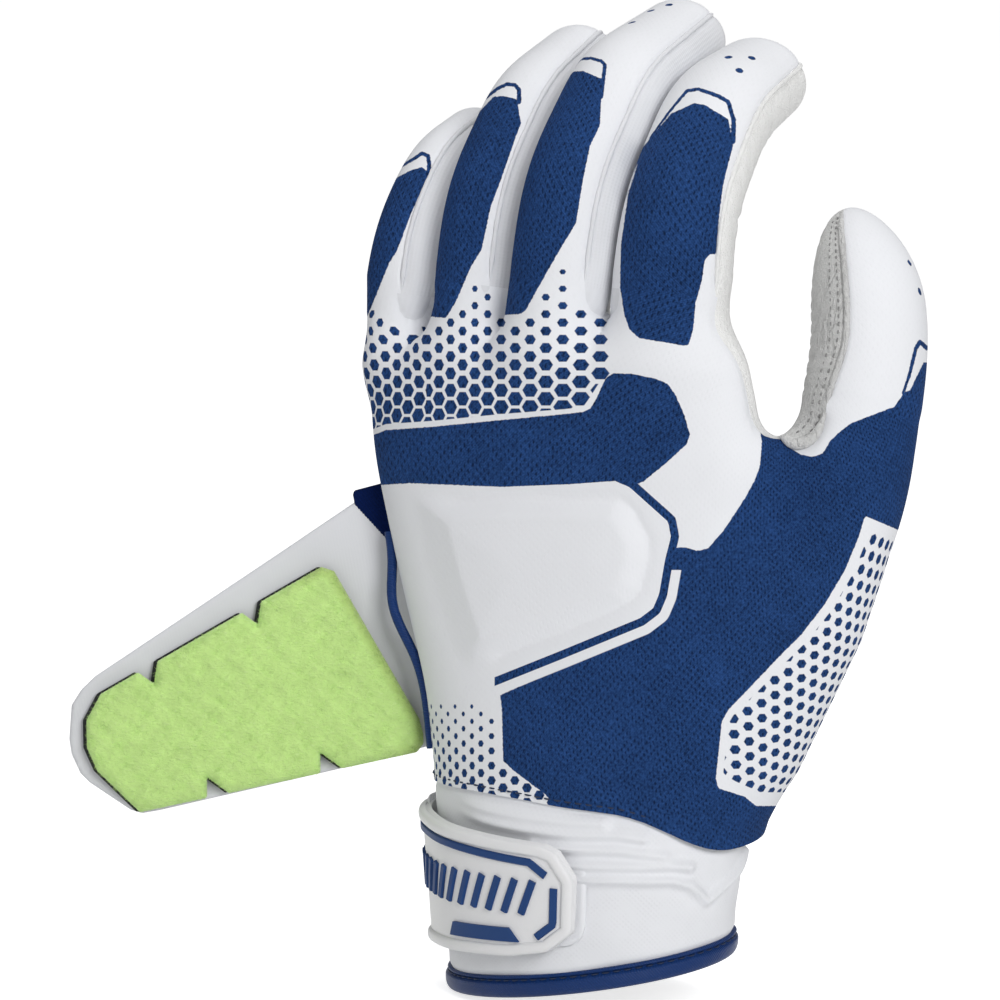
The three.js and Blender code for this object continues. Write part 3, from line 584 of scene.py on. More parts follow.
def write(name, points, faces, finish, slot, attributes=None):
    """Piece from points in millimetres and faces of three or four sides; doubles and slivers go."""
    mesh = bpy.data.meshes.new(name)
    rows = faces if isinstance(faces, list) else [faces]
    mesh.from_pydata(np.asarray(points) * MM, [], [f for part in rows for f in part.tolist()])
    for key, values in (attributes or {}).items():
        values = np.asarray(values, np.float32)
        kind, prop = (("FLOAT", "value") if values.ndim == 1 else ("FLOAT_VECTOR", "vector"))
        mesh.attributes.new(key, kind, "POINT").data.foreach_set(prop, values.ravel())
    mesh.validate()
    clean = bmesh.new()
    clean.from_mesh(mesh)
    bmesh.ops.remove_doubles(clean, verts=clean.verts, dist=2e-6)
    bmesh.ops.dissolve_degenerate(clean, edges=clean.edges, dist=1e-7)
    if clean.calc_volume(signed=True) < 0:
        bmesh.ops.reverse_faces(clean, faces=clean.faces)
    clean.to_mesh(mesh)
    clean.free()
    mesh.polygons.foreach_set("use_smooth", np.ones(len(mesh.polygons), bool))
    mesh.set_sharp_from_angle(angle=SHARP_EDGE)
    mesh.materials.append(finish)
    piece = bpy.data.objects.new(name, mesh)
    bpy.context.scene.collection.objects.link(piece)
    return piece


def quads(index):
    """Faces of a grid of point numbers."""
    return np.stack([index[:-1, :-1], index[:-1, 1:], index[1:, 1:], index[1:, :-1]], -1).reshape(-1, 4)


def looped(index):
    """Grid of point numbers with its first column once more at the end."""
    return np.concatenate([index, index[:, :1]], 1)


def slab(outer, inner, around=False):
    """Closed body between two grids of points, with rims; around joins the last column to the first."""
    rows, columns = outer.shape[:2]
    index = np.arange(rows * columns).reshape(rows, columns)
    if around:
        index = looped(index)
    n = rows * columns
    faces = [quads(index), quads(index)[:, ::-1] + n]
    borders = [index[0], index[-1][::-1]]
    if not around:
        borders += [index[:, -1], index[::-1, 0]]
    for line in borders:
        a, b = line[:-1], line[1:]
        faces.append(np.stack([b, a, a + n, b + n], 1))
    return np.concatenate([outer.reshape(-1, 3), inner.reshape(-1, 3)]), np.concatenate(faces)


def shell(points, faces, normals, thickness):
    """Closed body from an open skin of triangles: the skin, its copy further in, and the rims between."""
    n = len(points)
    edges = np.concatenate([faces[:, [0, 1]], faces[:, [1, 2]], faces[:, [2, 0]]])
    keys = np.sort(edges, axis=1)
    _, first, count = np.unique(keys, axis=0, return_index=True, return_counts=True)
    a, b = edges[first[count == 1]].T
    walls = np.stack([b, a, a + n, b + n], 1)
    return np.concatenate([points, points - thickness * normals]), [faces, faces[:, ::-1] + n, walls]


def sweep(path, normal, profile):
    """Profile (aside, out) carried along a path whose normal is the way out; fans cap its ends."""
    path, normal = np.asarray(path, float), unit(normal)
    along = unit(np.gradient(path, axis=0))
    aside = unit(np.cross(along, normal))
    out = np.cross(aside, along)
    profile = np.asarray(profile, float)
    if profile.ndim == 2:
        profile = np.repeat(profile[None], len(path), 0)
    grid = path[:, None] + profile[..., :1] * aside[:, None] + profile[..., 1:] * out[:, None]
    rows, columns = grid.shape[:2]
    index = looped(np.arange(rows * columns).reshape(rows, columns))
    points = grid.reshape(-1, 3)
    caps = np.stack([grid[0].mean(0), grid[-1].mean(0)])
    fans = [np.stack([index[0, 1:], index[0, :-1], np.full(columns, len(points))], 1),
            np.stack([index[-1, :-1], index[-1, 1:], np.full(columns, len(points) + 1)], 1)]
    return np.concatenate([points, caps]), [quads(index), *fans]


def gather(parts):
    """Several bodies, each points and a list of face arrays, as one."""
    points, faces, shift = [], [], 0
    for p, f in parts:
        points.append(p)
        faces += [part + shift for part in (f if isinstance(f, list) else [f])]
        shift += len(p)
    return np.concatenate(points), faces


def spaced(path, step):
    """Path divided into even steps."""
    path = np.asarray(path, float)
    length = run_of(path)
    places = np.linspace(0, length[-1], max(2, int(round(length[-1] / step)) + 1))
    return np.stack([np.interp(places, length, column) for column in path.T], 1)


STITCH_SIDES = 6


def stitches(path, normal, lift=0.12, closer=1.0):
    """Row of sewn stitches along a path: bent rods that dip at both ends, with short gaps."""
    length, thick = size("stitch") / closer, size("thread") / 2
    path, normal = np.asarray(path, float), np.asarray(normal, float)
    run = run_of(path)
    starts = np.arange(0, run[-1] - length, length * 1.35)
    t = np.linspace(0, 1, 5)
    places = starts[:, None] + length * t
    take = lambda rows: np.stack([np.interp(places, run, column) for column in rows.T], -1)
    out = unit(take(normal))
    middle = take(path) + out * (lift - 0.45 * np.abs(2 * t - 1)[None, :, None] ** 3)
    along = unit(np.gradient(middle, axis=1))
    aside = np.cross(along, out)
    fat = thick * np.array([0.55, 0.95, 1.0, 0.95, 0.55])[None, :, None, None]
    c, s = circle(STITCH_SIDES).T[..., None]
    rings = middle[:, :, None] + fat * (c * aside[:, :, None] + s * out[:, :, None])
    count = len(t) * STITCH_SIDES
    index = np.arange(count).reshape(-1, STITCH_SIDES)
    caps = np.stack([index[0, ::-1], index[-1]])
    shift = count * np.arange(len(starts))[:, None, None]
    parts = quads(looped(index)), caps
    return rings.reshape(-1, 3), [(part + shift).reshape(-1, part.shape[1]) for part in parts]


# ---------------------------------------------------------------- finishes

class Wire:
    """A value in a material: sums on it add Math nodes."""

    def __init__(self, finish, socket):
        self.finish, self.socket = finish, socket

    def math(self, operation, *others, first=None):
        values = (self, *others) if first is None else (first, self)
        return self.finish.node("ShaderNodeMath", {"operation": operation}, dict(enumerate(values)))

    def __add__(self, other): return self.math("ADD", other)
    def __radd__(self, other): return self.math("ADD", other)
    def __sub__(self, other): return self.math("SUBTRACT", other)
    def __rsub__(self, other): return self.math("SUBTRACT", first=other)
    def __mul__(self, other): return self.math("MULTIPLY", other)
    def __rmul__(self, other): return self.math("MULTIPLY", other)
    def __truediv__(self, other): return self.math("DIVIDE", other)
    def __abs__(self): return self.math("ABSOLUTE")
    def __lt__(self, other): return self.math("LESS_THAN", other)
    def __gt__(self, other): return self.math("GREATER_THAN", other)
    def __pow__(self, other): return self.math("POWER", other)

    def least(self, other): return self.math("MINIMUM", other)
    def most(self, other): return self.math("MAXIMUM", other)

    def ramp(self, start, end):
        """0 before start, 1 after end."""
        return self.finish.node("ShaderNodeMapRange", {"clamp": True}, {0: self, 1: start, 2: end})

    def wave(self, length):
        """Sine with a wave length."""
        return (self * (2 * math.pi / length)).math("SINE")

    def from_cell(self, pitch):
        """Distance to the nearest whole multiple of a pitch, with its sign."""
        return self.math("WRAP", pitch / 2, -pitch / 2)


class Finish:
    """A material or world under way: its nodes come from one method, its sockets are set by name."""

    def __init__(self, owner):
        self.owner = owner
        owner.use_nodes = True
        self.tree = owner.node_tree
        world = isinstance(owner, bpy.types.World)
        self.shader = self.tree.nodes["Background" if world else "Principled BSDF"]

    def feed(self, socket, value):
        if isinstance(value, Wire):
            self.tree.links.new(value.socket, socket)
        else:
            socket.default_value = value

    def node(self, kind, settings=None, sockets=None, out=0):
        """Adds a node: settings first, then the values or links of its sockets, and gives one output."""
        made = self.tree.nodes.new(kind)
        for key, value in (settings or {}).items():
            setattr(made, key, value)
        for key, value in (sockets or {}).items():
            self.feed(made.inputs[key], value)
        return Wire(self, made.outputs[out])

    def parts(self, vector):
        """Three components of a vector."""
        split = self.node("ShaderNodeSeparateXYZ", None, {0: vector}).socket.node
        return [Wire(self, o) for o in split.outputs]

    def attribute(self, name):
        return self.parts(self.node("ShaderNodeAttribute", {"attribute_name": name}, out=1))

    def ray(self, kind):
        """Whether a light path is of a kind."""
        return self.node("ShaderNodeLightPath", out=f"Is {kind} Ray")

    def place(self):
        """Object coordinates in metres."""
        return self.node("ShaderNodeTexCoord", out=3)

    def noise(self, scale, detail=2.0, vector=None, rough=0.5):
        return self.node("ShaderNodeTexNoise", None, {
            "Vector": vector or self.place(), "Scale": scale, "Detail": detail, "Roughness": rough})

    def cells(self, scale, feature="F1", vector=None):
        return self.node("ShaderNodeTexVoronoi", {"feature": feature}, {
            "Vector": vector or self.place(), "Scale": scale})

    def stretched(self, scale):
        """Object coordinates stretched by a scale for each axis."""
        return self.node("ShaderNodeMapping", None, {0: self.place(), 3: scale})

    def mix(self, share, a, b):
        return self.node("ShaderNodeMix", {"data_type": "RGBA"}, {0: share, 6: a, 7: b}, out=2)

    def bump(self, height, strength, distance):
        """Normal pushed by a height in millimetres."""
        return self.node(
            "ShaderNodeBump", None, {"Strength": strength, "Distance": distance, "Height": height})

    def tone(self, share, rgba, low, high):
        """Colour between two shades of one colour."""
        return self.mix(share, shade(rgba, low), shade(rgba, high))

    def set(self, **sockets):
        for key, value in sockets.items():
            self.feed(self.shader.inputs[key.replace("_", " ")], value)
        return self.owner


def shade(rgba, by):
    """Colour made darker or lighter by a factor."""
    return tuple(min(1.0, c * by) for c in rgba[:3]) + (1.0,)


def hexagon(x, y):
    """Distance to the nearest centre of a honeycomb of pitch 1, in flat-topped hexagons."""
    def from_row(x_shift, y_shift):
        dx, dy = abs((x + x_shift).from_cell(HEX_WIDE)), abs((y + y_shift).from_cell(1.0))
        return dy.most(dy * 0.5 + dx * (HEX_WIDE / 2))
    return from_row(0.0, 0.0).least(from_row(HEX_WIDE / 2, 0.5))


def dimples(x, y, narrow):
    """Distance to the nearest centre of staggered columns of pitch 1, in narrow upright ovals."""
    def from_row(shift):
        dx, dy = (x + shift).from_cell(1.0) * narrow, (y + shift).from_cell(1.0)
        return dx * dx + dy * dy
    return from_row(0.0).least(from_row(0.5)) ** 0.5


def printed_knit():
    """Stretch knit with pin holes darkened by painted shade and loops carrying painted light and shade; the
    print and its dots come from the piece's own distances.
    """
    f = Finish(bpy.data.materials.new("printed_knit"))
    blue, pad, dots = f.attribute("print")
    x, y, dot = f.attribute("dots")
    u, v, _ = f.attribute("fabric")
    right, up, raised = f.attribute("plane")
    edge = lambda d: d.ramp(0.07, -0.07)
    solid = edge(blue + (f.noise(1500.0, 1.0) - 0.5) * 0.3)
    line = edge(pad - PAD_LINE) * (pad > 0.0) * (right > PAD_LINE_LEFT)
    gap = edge(pad - PAD_WHITE_LINE) * (pad > PAD_LINE) * (right > PAD_LINE_LEFT) * (up < PAD_WHITE_TOP)
    spots = (hexagon(x, y) - dot).ramp(0.02, -0.02) * edge(dots)
    mask = (solid.most(line) * (1 - gap)).most(spots)
    pitch = size("knit_pitch")
    sway = f.noise(500.0, 1.0) - 0.5
    hole = dimples(u / pitch + sway * 0.5, v / pitch + sway * 0.4, 2.0).ramp(0.33, 0.12)
    hole = hole * f.noise(420.0, 1.0).ramp(0.2, 0.55)
    loops = (v + u * 0.5).wave(pitch * 0.34) * u.wave(pitch * 0.25)
    patch = f.noise(60.0, 3.0)
    mottle = f.noise(900.0, 2.0)
    fleck = f.noise(2300.0, 1.0) - 0.5
    # The knit loops add painted light and shade to the blue, rising and falling with their bump.
    tone = f.tone((patch - 0.5) * 0.6 + (mottle - 0.5) * 0.6 + fleck * 1.6 + loops * 0.2 + 0.5,
                  colour("blue"), 0.5, 1.4)
    # Painted shade: the pin holes darken the blue strongly and the white faintly.
    dark = f.mix(hole * 0.85, tone, shade(colour("blue"), 0.26))
    pale = f.mix(hole * 0.1 + mottle * 0.06, colour("white"), shade(colour("white"), 0.86))
    film = f.mix(raised, pale, colour("white"))
    height = (loops * 0.25 - hole) * (mask * 0.85 + 0.12) - mottle * 0.1
    return f.set(
        Base_Color=f.mix(mask, film, dark), Roughness=0.6 + 0.2 * mask, Specular_IOR_Level=0.06,
        Normal=f.bump(height, 0.7, 0.0003))


def side_knit():
    """Ribbed stretch knit of the finger sides: fine ribs along the finger, with painted shade greyer in the
    grooves.
    """
    f = Finish(bpy.data.materials.new("side_knit"))
    u, v, _ = f.attribute("fabric")
    rib, purl = u.wave(0.95), v.wave(0.7)
    cloud = f.noise(80.0, 3.0)
    # Painted shade: the rib and purl waves darken the grooves that the bump sinks.
    tone = f.tone(rib * 0.05 + purl * 0.02 + cloud * 0.6 + 0.2, colour("white"), 0.8, 0.97)
    return f.set(Base_Color=tone, Roughness=0.75, Specular_IOR_Level=0.2,
                 Normal=f.bump(rib * 0.25 + purl * 0.1 + cloud * 2, 0.25, 0.0003))


def leather(name, tint, grain):
    """Soft sheepskin: pebbled grain, long fine creases, cloudy colour, painted shade towards the thumb and
    painted shade in the creases.
    """
    f = Finish(bpy.data.materials.new(name))
    pebble = f.cells(1500.0, "DISTANCE_TO_EDGE")
    crease = f.noise(1.0, 3.0, f.stretched((260.0, 260.0, 70.0)), 0.6)
    cloud = f.noise(45.0, 3.0)
    lines = abs(crease - 0.5).ramp(0.05, 0.0)
    # Painted shade: the leather turns darker towards the thumb, the side that faces away from the light.
    shaded_thumb_side = f.parts(f.place())[0].ramp(0.036, 0.05)
    tone = f.tone(cloud * 0.7 + pebble * 0.25, tint, 0.88, 1.06)
    tone = f.mix(shaded_thumb_side, tone, f.tone(cloud + pebble * 0.3, tint, 0.5, 0.74))
    # Painted shade in the creases, deeper on the thumb side.
    crease_shaded = f.mix(lines * (0.1 + shaded_thumb_side * 0.25), tone, shade(tint, 0.55))
    height = pebble.ramp(0.0, 0.35) * 0.5 - lines * (0.3 + shaded_thumb_side * 0.8) + cloud * 0.5
    return f.set(Base_Color=crease_shaded, Roughness=0.52 + cloud * 0.25, Normal=f.bump(height, grain, 0.0004))


def cuff_fabric():
    """Smooth stretch fabric with fine pin texture, its pins darkened by painted shade."""
    f = Finish(bpy.data.materials.new("cuff_fabric"))
    u, v, _ = f.attribute("fabric")
    pin = dimples(u / 1.15, v / 1.15, 1.0).ramp(0.3, 0.08) * f.noise(300.0, 2.0).ramp(0.35, 0.6)
    cloud = f.noise(70.0, 2.0)
    # Painted shade: the sunken pins are darker.
    tone = f.tone(pin * 0.1 + cloud * 0.25, colour("white"), 1.0, 0.8)
    return f.set(Base_Color=tone, Roughness=0.6 + pin * 0.15, Sheen_Weight=0.1,
                 Normal=f.bump(cloud * 0.3 - pin * 0.4, 0.4, 0.0002))


def tape(name, tint, pitch, rough=0.66, shine=0.35):
    """Woven tape: ribs across and a twill along, with painted shade in the rib hollows and painted light on
    the ribs.
    """
    f = Finish(bpy.data.materials.new(name))
    u, v, _ = f.attribute("fabric")
    rib, weft = (u + v * 0.6).wave(pitch), v.wave(pitch / 1.4)
    cloud = f.noise(120.0, 2.0)
    # Painted light and shade: the rib wave lightens the ridges and darkens the hollows.
    tone = f.tone(rib * 0.22 + cloud * 0.5 + 0.2, tint, 0.8, 1.2)
    return f.set(Base_Color=tone, Roughness=rough + rib * 0.06, Specular_IOR_Level=shine,
                 Normal=f.bump(rib * 0.5 + weft * 0.3, 0.4, 0.0002))


def moulded(name, tint, rough, shine=0.5):
    """Moulded rubber: fine spark texture and faint cloudiness."""
    f = Finish(bpy.data.materials.new(name))
    spark = f.noise(2600.0, 2.0)
    cloud = f.noise(50.0, 2.0)
    tone = f.tone(cloud * 0.6 + spark * 0.2, tint, 0.93, 1.05)
    return f.set(Base_Color=tone, Roughness=rough + cloud * 0.12, Specular_IOR_Level=shine,
                 Normal=f.bump(spark, 0.25, 0.0001))


def felt():
    """Brushed felt: tangled fibres and soft hollows, and painted shade in olive along its edge on the hinge
    side.
    """
    f = Finish(bpy.data.materials.new("felt"))
    tint = colour("lime")
    fibre = f.noise(1.0, 4.0, f.stretched((900.0, 900.0, 2100.0)), 0.65)
    tuft = f.noise(230.0, 4.0, rough=0.7)
    broad = f.noise(40.0, 2.0)
    u, v, depth = f.attribute("fabric")
    tone = f.tone(tuft.ramp(0.3, 0.7), tint, 0.9, 1.08)
    tone = f.mix(fibre.ramp(0.55, 0.75) * 0.5, tone, (0.76, 0.97, 0.44, 1))
    # Painted shade: olive darkening near the felt's edge on the hinge side, where its thickness turns from
    # the light.
    tone = f.mix(depth.ramp(2.5, 0.0) * (u + v * 0.35).ramp(32.0, 22.0) * 0.6, tone, (0.36, 0.48, 0.10, 1))
    height = tuft + fibre * 0.8 + broad * 0.6
    return f.set(Base_Color=tone, Roughness=0.95, Sheen_Weight=0.35, Sheen_Roughness=0.5,
                 Normal=f.bump(height, 0.9, 0.0008))


def foam():
    """Black closed-cell foam."""
    f = Finish(bpy.data.materials.new("foam"))
    cell = f.cells(1700.0)
    tone = f.tone(cell, colour("foam"), 0.6, 2.4)
    return f.set(Base_Color=tone, Roughness=0.85, Normal=f.bump(cell, 0.5, 0.0003))


def leaf_cloth():
    """Brushed tricot of the leaf: fine vertical wales, their hollows faintly darkened by painted shade."""
    f = Finish(bpy.data.materials.new("leaf_cloth"))
    u = f.attribute("fabric")[0]
    wale = u.wave(0.7)
    cloud = f.noise(60.0, 3.0)
    # Painted shade: the wale wave faintly darkens the wale hollows.
    tone = f.tone(cloud * 0.6 + wale * 0.02 + 0.2, colour("white"), 0.78, 0.95)
    return f.set(Base_Color=tone, Roughness=0.8, Sheen_Weight=0.15,
                 Normal=f.bump(wale * 0.1 + cloud, 0.2, 0.0002))


def thread(name, tint):
    """Twisted sewing thread."""
    f = Finish(bpy.data.materials.new(name))
    twist = f.noise(4200.0, 1.0)
    return f.set(Base_Color=f.tone(twist, tint, 0.75, 1.15), Roughness=0.55,
                 Normal=f.bump(twist, 0.4, 0.0001))


FINISHES = {}


def finish(name):
    """The named finish, made once."""
    makers = {
        "printed_knit": printed_knit, "cuff_fabric": cuff_fabric, "felt": felt, "foam": foam,
        "leaf_cloth": leaf_cloth,
        "palm_leather": lambda: leather("palm_leather", colour("leather"), 0.6),
        "pale_thread": lambda: thread("pale_thread", shade(colour("leather"), 0.85)),
        "hem_tape": lambda: tape("hem_tape", (0.008, 0.035, 0.145, 1), 0.6, 0.36, 0.16),
        "webbing": lambda: tape("webbing", colour("white"), 1.1),
        "white_rubber": lambda: moulded("white_rubber", colour("rubber"), 0.38),
        "blue_rubber": lambda: moulded("blue_rubber", shade(colour("blue"), 0.95), 0.4, 0.15),
        "hook": lambda: moulded("hook", colour("foam"), 0.6),
        "leather_thread": lambda: thread("leather_thread", shade(colour("leather"), 0.28)),
        # Corner tape: navy, made darker still by painted shade where it tucks under the hand's edge.
        "corner_tape": lambda: tape("corner_tape", (0.002, 0.010, 0.066, 1), 0.8, 0.8, 0.06),
        "side_knit": side_knit,
        "blue_thread": lambda: thread("blue_thread", shade(colour("blue"), 0.3)),
    }
    if name not in FINISHES:
        FINISHES[name] = makers[name]()
    return FINISHES[name]


# ---------------------------------------------------------------- print

# Distance that stands for no print.
NO_PRINT = 20.0


def nearest_digit(points):
    """Number of the finger nearest to each point."""
    return np.argmin([digit.field(points)[0] for digit in DIGITS.values()], axis=0)


def far_side(points, digit):
    """Place of a digit's points on the print's plane. Beyond the angle at which the digit turns away from
    the plane, a point takes the place of the point at that angle, so that print carries on straight round
    the digit."""
    s, w, n = digit.local(points)
    a, b = digit.half(s)
    facing = np.arctan2(digit.frame(s)[2] @ PLANE_OUT / b, digit.side @ PLANE_OUT / a)
    off = (np.arctan2(n / b, w / a) - facing + np.pi) % (2 * np.pi) - np.pi
    kept = facing + np.clip(off, -TURNED_AWAY, TURNED_AWAY)
    r = np.hypot(w / a, n / b)
    moved = digit.at(s, r * a * np.cos(kept), r * b * np.sin(kept))
    return on_plane(np.where(np.abs(off)[:, None] > TURNED_AWAY, moved, points))


def to_centre(x, y):
    """Steps from places in a honeycomb of pitch 1 to the centres of their hexagons."""
    steps = []
    for shift in (0.0, 0.5):
        dx = HEX_WIDE * (np.round(x / HEX_WIDE - shift) + shift) - x
        dy = np.round(y - shift) + shift - y
        steps.append((dx, dy, np.maximum(np.abs(dy), np.abs(dy) / 2 + np.abs(dx) * HEX_WIDE / 2)))
    first = steps[0][2] < steps[1][2]
    return [np.where(first, a, b) for a, b in zip(steps[0][:2], steps[1][:2])]


def print_on(points, fabric, raised=0.0, owner=None):
    """Attributes that the printed knit reads: distances to the blue shapes, honeycomb places and the
    fabric's own places. A finger's shapes are printed only where the owner is that finger."""
    plane = on_plane(points)
    blue = np.full(len(points), NO_PRINT)
    by_hand = owner is None
    owner = nearest_digit(points) if by_hand else np.full(len(points), owner)
    turned, strip = plane.copy(), np.full(len(points), -NO_PRINT)
    for order, (name, digit) in enumerate(DIGITS.items()):
        mine = np.flatnonzero((owner == order) & (points[:, 2] > 125))
        s, w, n = digit.local(points[mine])
        turned[mine] += (far_side(points[mine], digit) - plane[mine]) * smooth((s + 1) / 7)[:, None]
        if by_hand and name != "pinky":
            end = SIDE_STRIP - 0.055 * np.square(FINGER_CUT - s) - n
            strip[mine] = np.where((w < 0) & (s > -2), end, -NO_PRINT)
    own = lambda name: owner == list(DIGITS).index(name) if name in DIGITS else True
    for name, outline in BLUE_SHAPES.items():
        blue = np.where(own(name), np.minimum(blue, inside(turned, outline)), blue)
    for name, (path, first, last) in BLUE_LINES.items():
        blue = np.where(own(name), np.minimum(blue, beside(turned, path, first, last)), blue)
    blue = np.maximum(blue, strip)
    for spot in () if by_hand else TIP_DOTS:
        off = np.linalg.norm(plane - spot, axis=1)
        front = points @ PLANE_OUT
        if off.min() < TIP_DOT_NEAR:
            hidden = front < front[off < TIP_DOT_NEAR].max() - 4
            middle = points[np.argmin(off + 9 * hidden)]
            blue = np.minimum(blue, np.linalg.norm(points - middle, axis=1) - TIP_DOT_RADIUS)
    dots, dot, x, y = (np.full(len(points), value) for value in (NO_PRINT, 0.0, 0.0, 0.0))
    for outline, columns, row, (top, small), (low, large), turn, even in DOT_AREAS:
        d = inside(plane, outline)
        here = d < np.minimum(dots, 2)
        dots = np.minimum(dots, d)
        share = np.clip((top - plane[:, 1]) / (top - low), 0, 1)
        dot[here] = (small + (large - small) * share)[here]
        place = np.linspace(columns[0][0], columns[-1][0], 200)
        count = np.cumsum(HEX_WIDE / 2 / np.interp(place, *zip(*columns))) * (place[1] - place[0])
        x[here], y[here] = np.interp(plane[here, 0], place, count), plane[here, 1] / row
        if not by_hand:
            continue
        fit = here & (np.abs(plane[:, 0] - turn) < 4)
        rise, past = (plane[:, 1] - (top + low) / 2) / 30, (plane[:, 0] - turn) / 4
        terms = np.stack([rise ** 0, rise, rise ** 2, rise ** 3, past, past ** 2, past * rise], 1)
        shares = np.linalg.lstsq(terms[fit], fabric[fit, 0], rcond=None)[0]
        side = here & (plane[:, 0] < turn)
        reach = fabric[side, 0] - terms[side, :4] @ shares[:4]
        wound = np.interp(turn, place, count) + reach * HEX_WIDE / 2 / even
        x[side] += (wound - x[side]) * smooth((TURN_TOP - plane[side, 1]) / 8)
    for outline, columns, row, _, (low, _), _, _ in DOT_AREAS:
        d = inside(plane, outline)
        here = np.flatnonzero(d < 2)
        dx, dy = to_centre(x[here], y[here])
        wide = np.interp(plane[here, 0], *zip(*columns)) * 2 / HEX_WIDE
        centre = plane[here] + np.stack([dx * wide, dy * row], 1)
        whole = np.where(inside(centre, outline) < -0.4, -2.0, 2.0)
        dots[here] = np.where(centre[:, 1] > low + 4, whole, d[here])
    d = inside(plane, THUMB_DOTS)
    here = d < np.minimum(dots, 2)
    dots = np.minimum(dots, d)
    s, w, n = THUMB.local(points[here])
    around = THUMB_DOT_RADIUS * np.arctan2(n, -w * np.sign(THUMB.side[1]))
    dot[here] = THUMB_DOT_SIZE
    x[here] = (around * math.cos(THUMB_LEAN) + s * math.sin(THUMB_LEAN)) / THUMB_DOT_PITCH
    y[here] = (s * math.cos(THUMB_LEAN) - around * math.sin(THUMB_LEAN)) / THUMB_DOT_PITCH
    zero = np.zeros(len(points))
    return {
        "print": np.stack([blue, inside(plane, PAD_AREA), dots], 1),
        "dots": np.stack([x, y, dot], 1),
        "fabric": np.stack([fabric[:, 0], fabric[:, 1], zero], 1),
        "plane": np.stack([plane[:, 0], plane[:, 1], zero + raised], 1),
    }


def bare(count, fabric=None):
    """Print attributes of a piece, or a back, that carries no print."""
    zero = np.zeros(count)
    fabric = np.zeros((count, 2)) if fabric is None else fabric
    return {
        "print": np.stack([zero + NO_PRINT, zero - NO_PRINT, zero + NO_PRINT], 1),
        "dots": np.zeros((count, 3)),
        "fabric": np.stack([fabric[:, 0], fabric[:, 1], zero], 1),
        "plane": np.zeros((count, 3)),
    }


def both(front, back):
    """Attributes of a front followed by those of its back."""
    return {key: np.concatenate([front[key], back[key]]) for key in front}


# ---------------------------------------------------------------- hand skin

# Cuff seam: angle round the wrist and height; it dips on the thumb side.
CUFF_SEAM = np.array([
    (-180, 39.5), (-141, 40.5), (-116, 41), (-96, 40.7), (-81, 39.9), (-66, 39.4), (-54, 38.6), (-43, 36),
    (-29, 32.2), (-17, 30.5), (-5, 30.6), (15, 31.5), (60, 33.5), (120, 37), (180, 39.5)])
# Half width and half depth of the wrist at that seam, and the height at which it is looked up.
WRIST_WIDE, WRIST_DEEP = 36, 25
SEAM_SEAT = 36
# Box in which the hand skin is looked for.
SKIN_BOX = (-68, -33, 20), (77, 47, 157)


def cuff_line(points):
    """Height of the cuff seam, from a table by the angle round the wrist."""
    angle = np.degrees(np.arctan2(points[..., 1] / WRIST_DEEP, points[..., 0] / WRIST_WIDE))
    return sum(np.interp((angle + turn + 180) % 360 - 180, *CUFF_SEAM.T) for turn in (-5, 0, 5)) / 3


def palm_side(points, normals):
    """Signed distance to the side seam, above zero on the palm: it follows the skin's turn."""
    thumb = digit_fields(points)[2]
    share = smooth((hand_field(points) - thumb) / 12 + 0.5)[:, None]
    back = unit((1 - share) * np.array([0, -1, 0]) + share * THUMB_FACING)
    high = smooth((points[:, 2] - 128) / 16)
    wrapped = smooth((points[:, 0] - 20) / 4) + smooth((-53 - points[:, 0]) / 3)
    return -12 * (normals * back).sum(1) + 3.7 * high * (2 * wrapped - 1)


def flatten(points, triangles, normals):
    """Places on the knit as cut flat, in millimetres: Blender's angle-keeping unwrap of the skin, scaled
    to the skin's area and turned so that its columns stand upright on the print's plane."""
    mesh = bpy.data.meshes.new("pattern")
    mesh.from_pydata(points * MM, [], triangles.tolist())
    pattern = bpy.data.objects.new("pattern", mesh)
    bpy.context.scene.collection.objects.link(pattern)
    bpy.context.view_layer.objects.active = pattern
    pattern.select_set(True)
    mesh.uv_layers.new(name="cut")
    bpy.ops.object.mode_set(mode="EDIT")
    bpy.ops.mesh.select_all(action="SELECT")
    bpy.ops.uv.unwrap(method="CONFORMAL", fill_holes=False, margin=0.0)
    bpy.ops.object.mode_set(mode="OBJECT")
    corner = np.zeros(2 * len(mesh.loops), np.float32)
    mesh.uv_layers["cut"].data.foreach_get("uv", corner)
    vertex = np.zeros(len(mesh.loops), np.int32)
    mesh.loops.foreach_get("vertex_index", vertex)
    flat = np.zeros((len(points), 2))
    flat[vertex] = corner.reshape(-1, 2)
    bpy.data.objects.remove(pattern)
    bpy.data.meshes.remove(mesh)
    plane = on_plane(points)
    facing = normals @ PLANE_OUT > 0.6
    goal = plane[facing, 0] + 1j * plane[facing, 1]
    goal = goal - goal.mean()
    best = None
    for mirrored in (1, -1):
        place = flat[:, 0] + 1j * mirrored * flat[:, 1]
        place = place - place[facing].mean()
        turn = (np.conj(place[facing]) * goal).sum() / (np.abs(place[facing]) ** 2).sum()
        error = np.abs(turn * place[facing] - goal).mean()
        if best is None or error < best[0]:
            best = (error, turn * place)
    a, b, c = points[triangles].transpose(1, 0, 2)
    area = np.linalg.norm(np.cross(b - a, c - a), axis=1).sum()
    z = best[1]
    p, q, r = z[triangles].T
    scale = math.sqrt(area / np.abs(((q - p) * np.conj(r - p)).imag).sum())
    return np.stack([z.real, z.imag], 1) * scale


def to_ends(points):
    """Distance to the ends of the hand skin at finger roots and thumb."""
    finger, s, thumb, along = digit_fields(points)
    return np.minimum(np.where(finger < 2.5, FINGER_CUT - s, 9), np.where(thumb < 2.5, THUMB_CUT - along, 9))


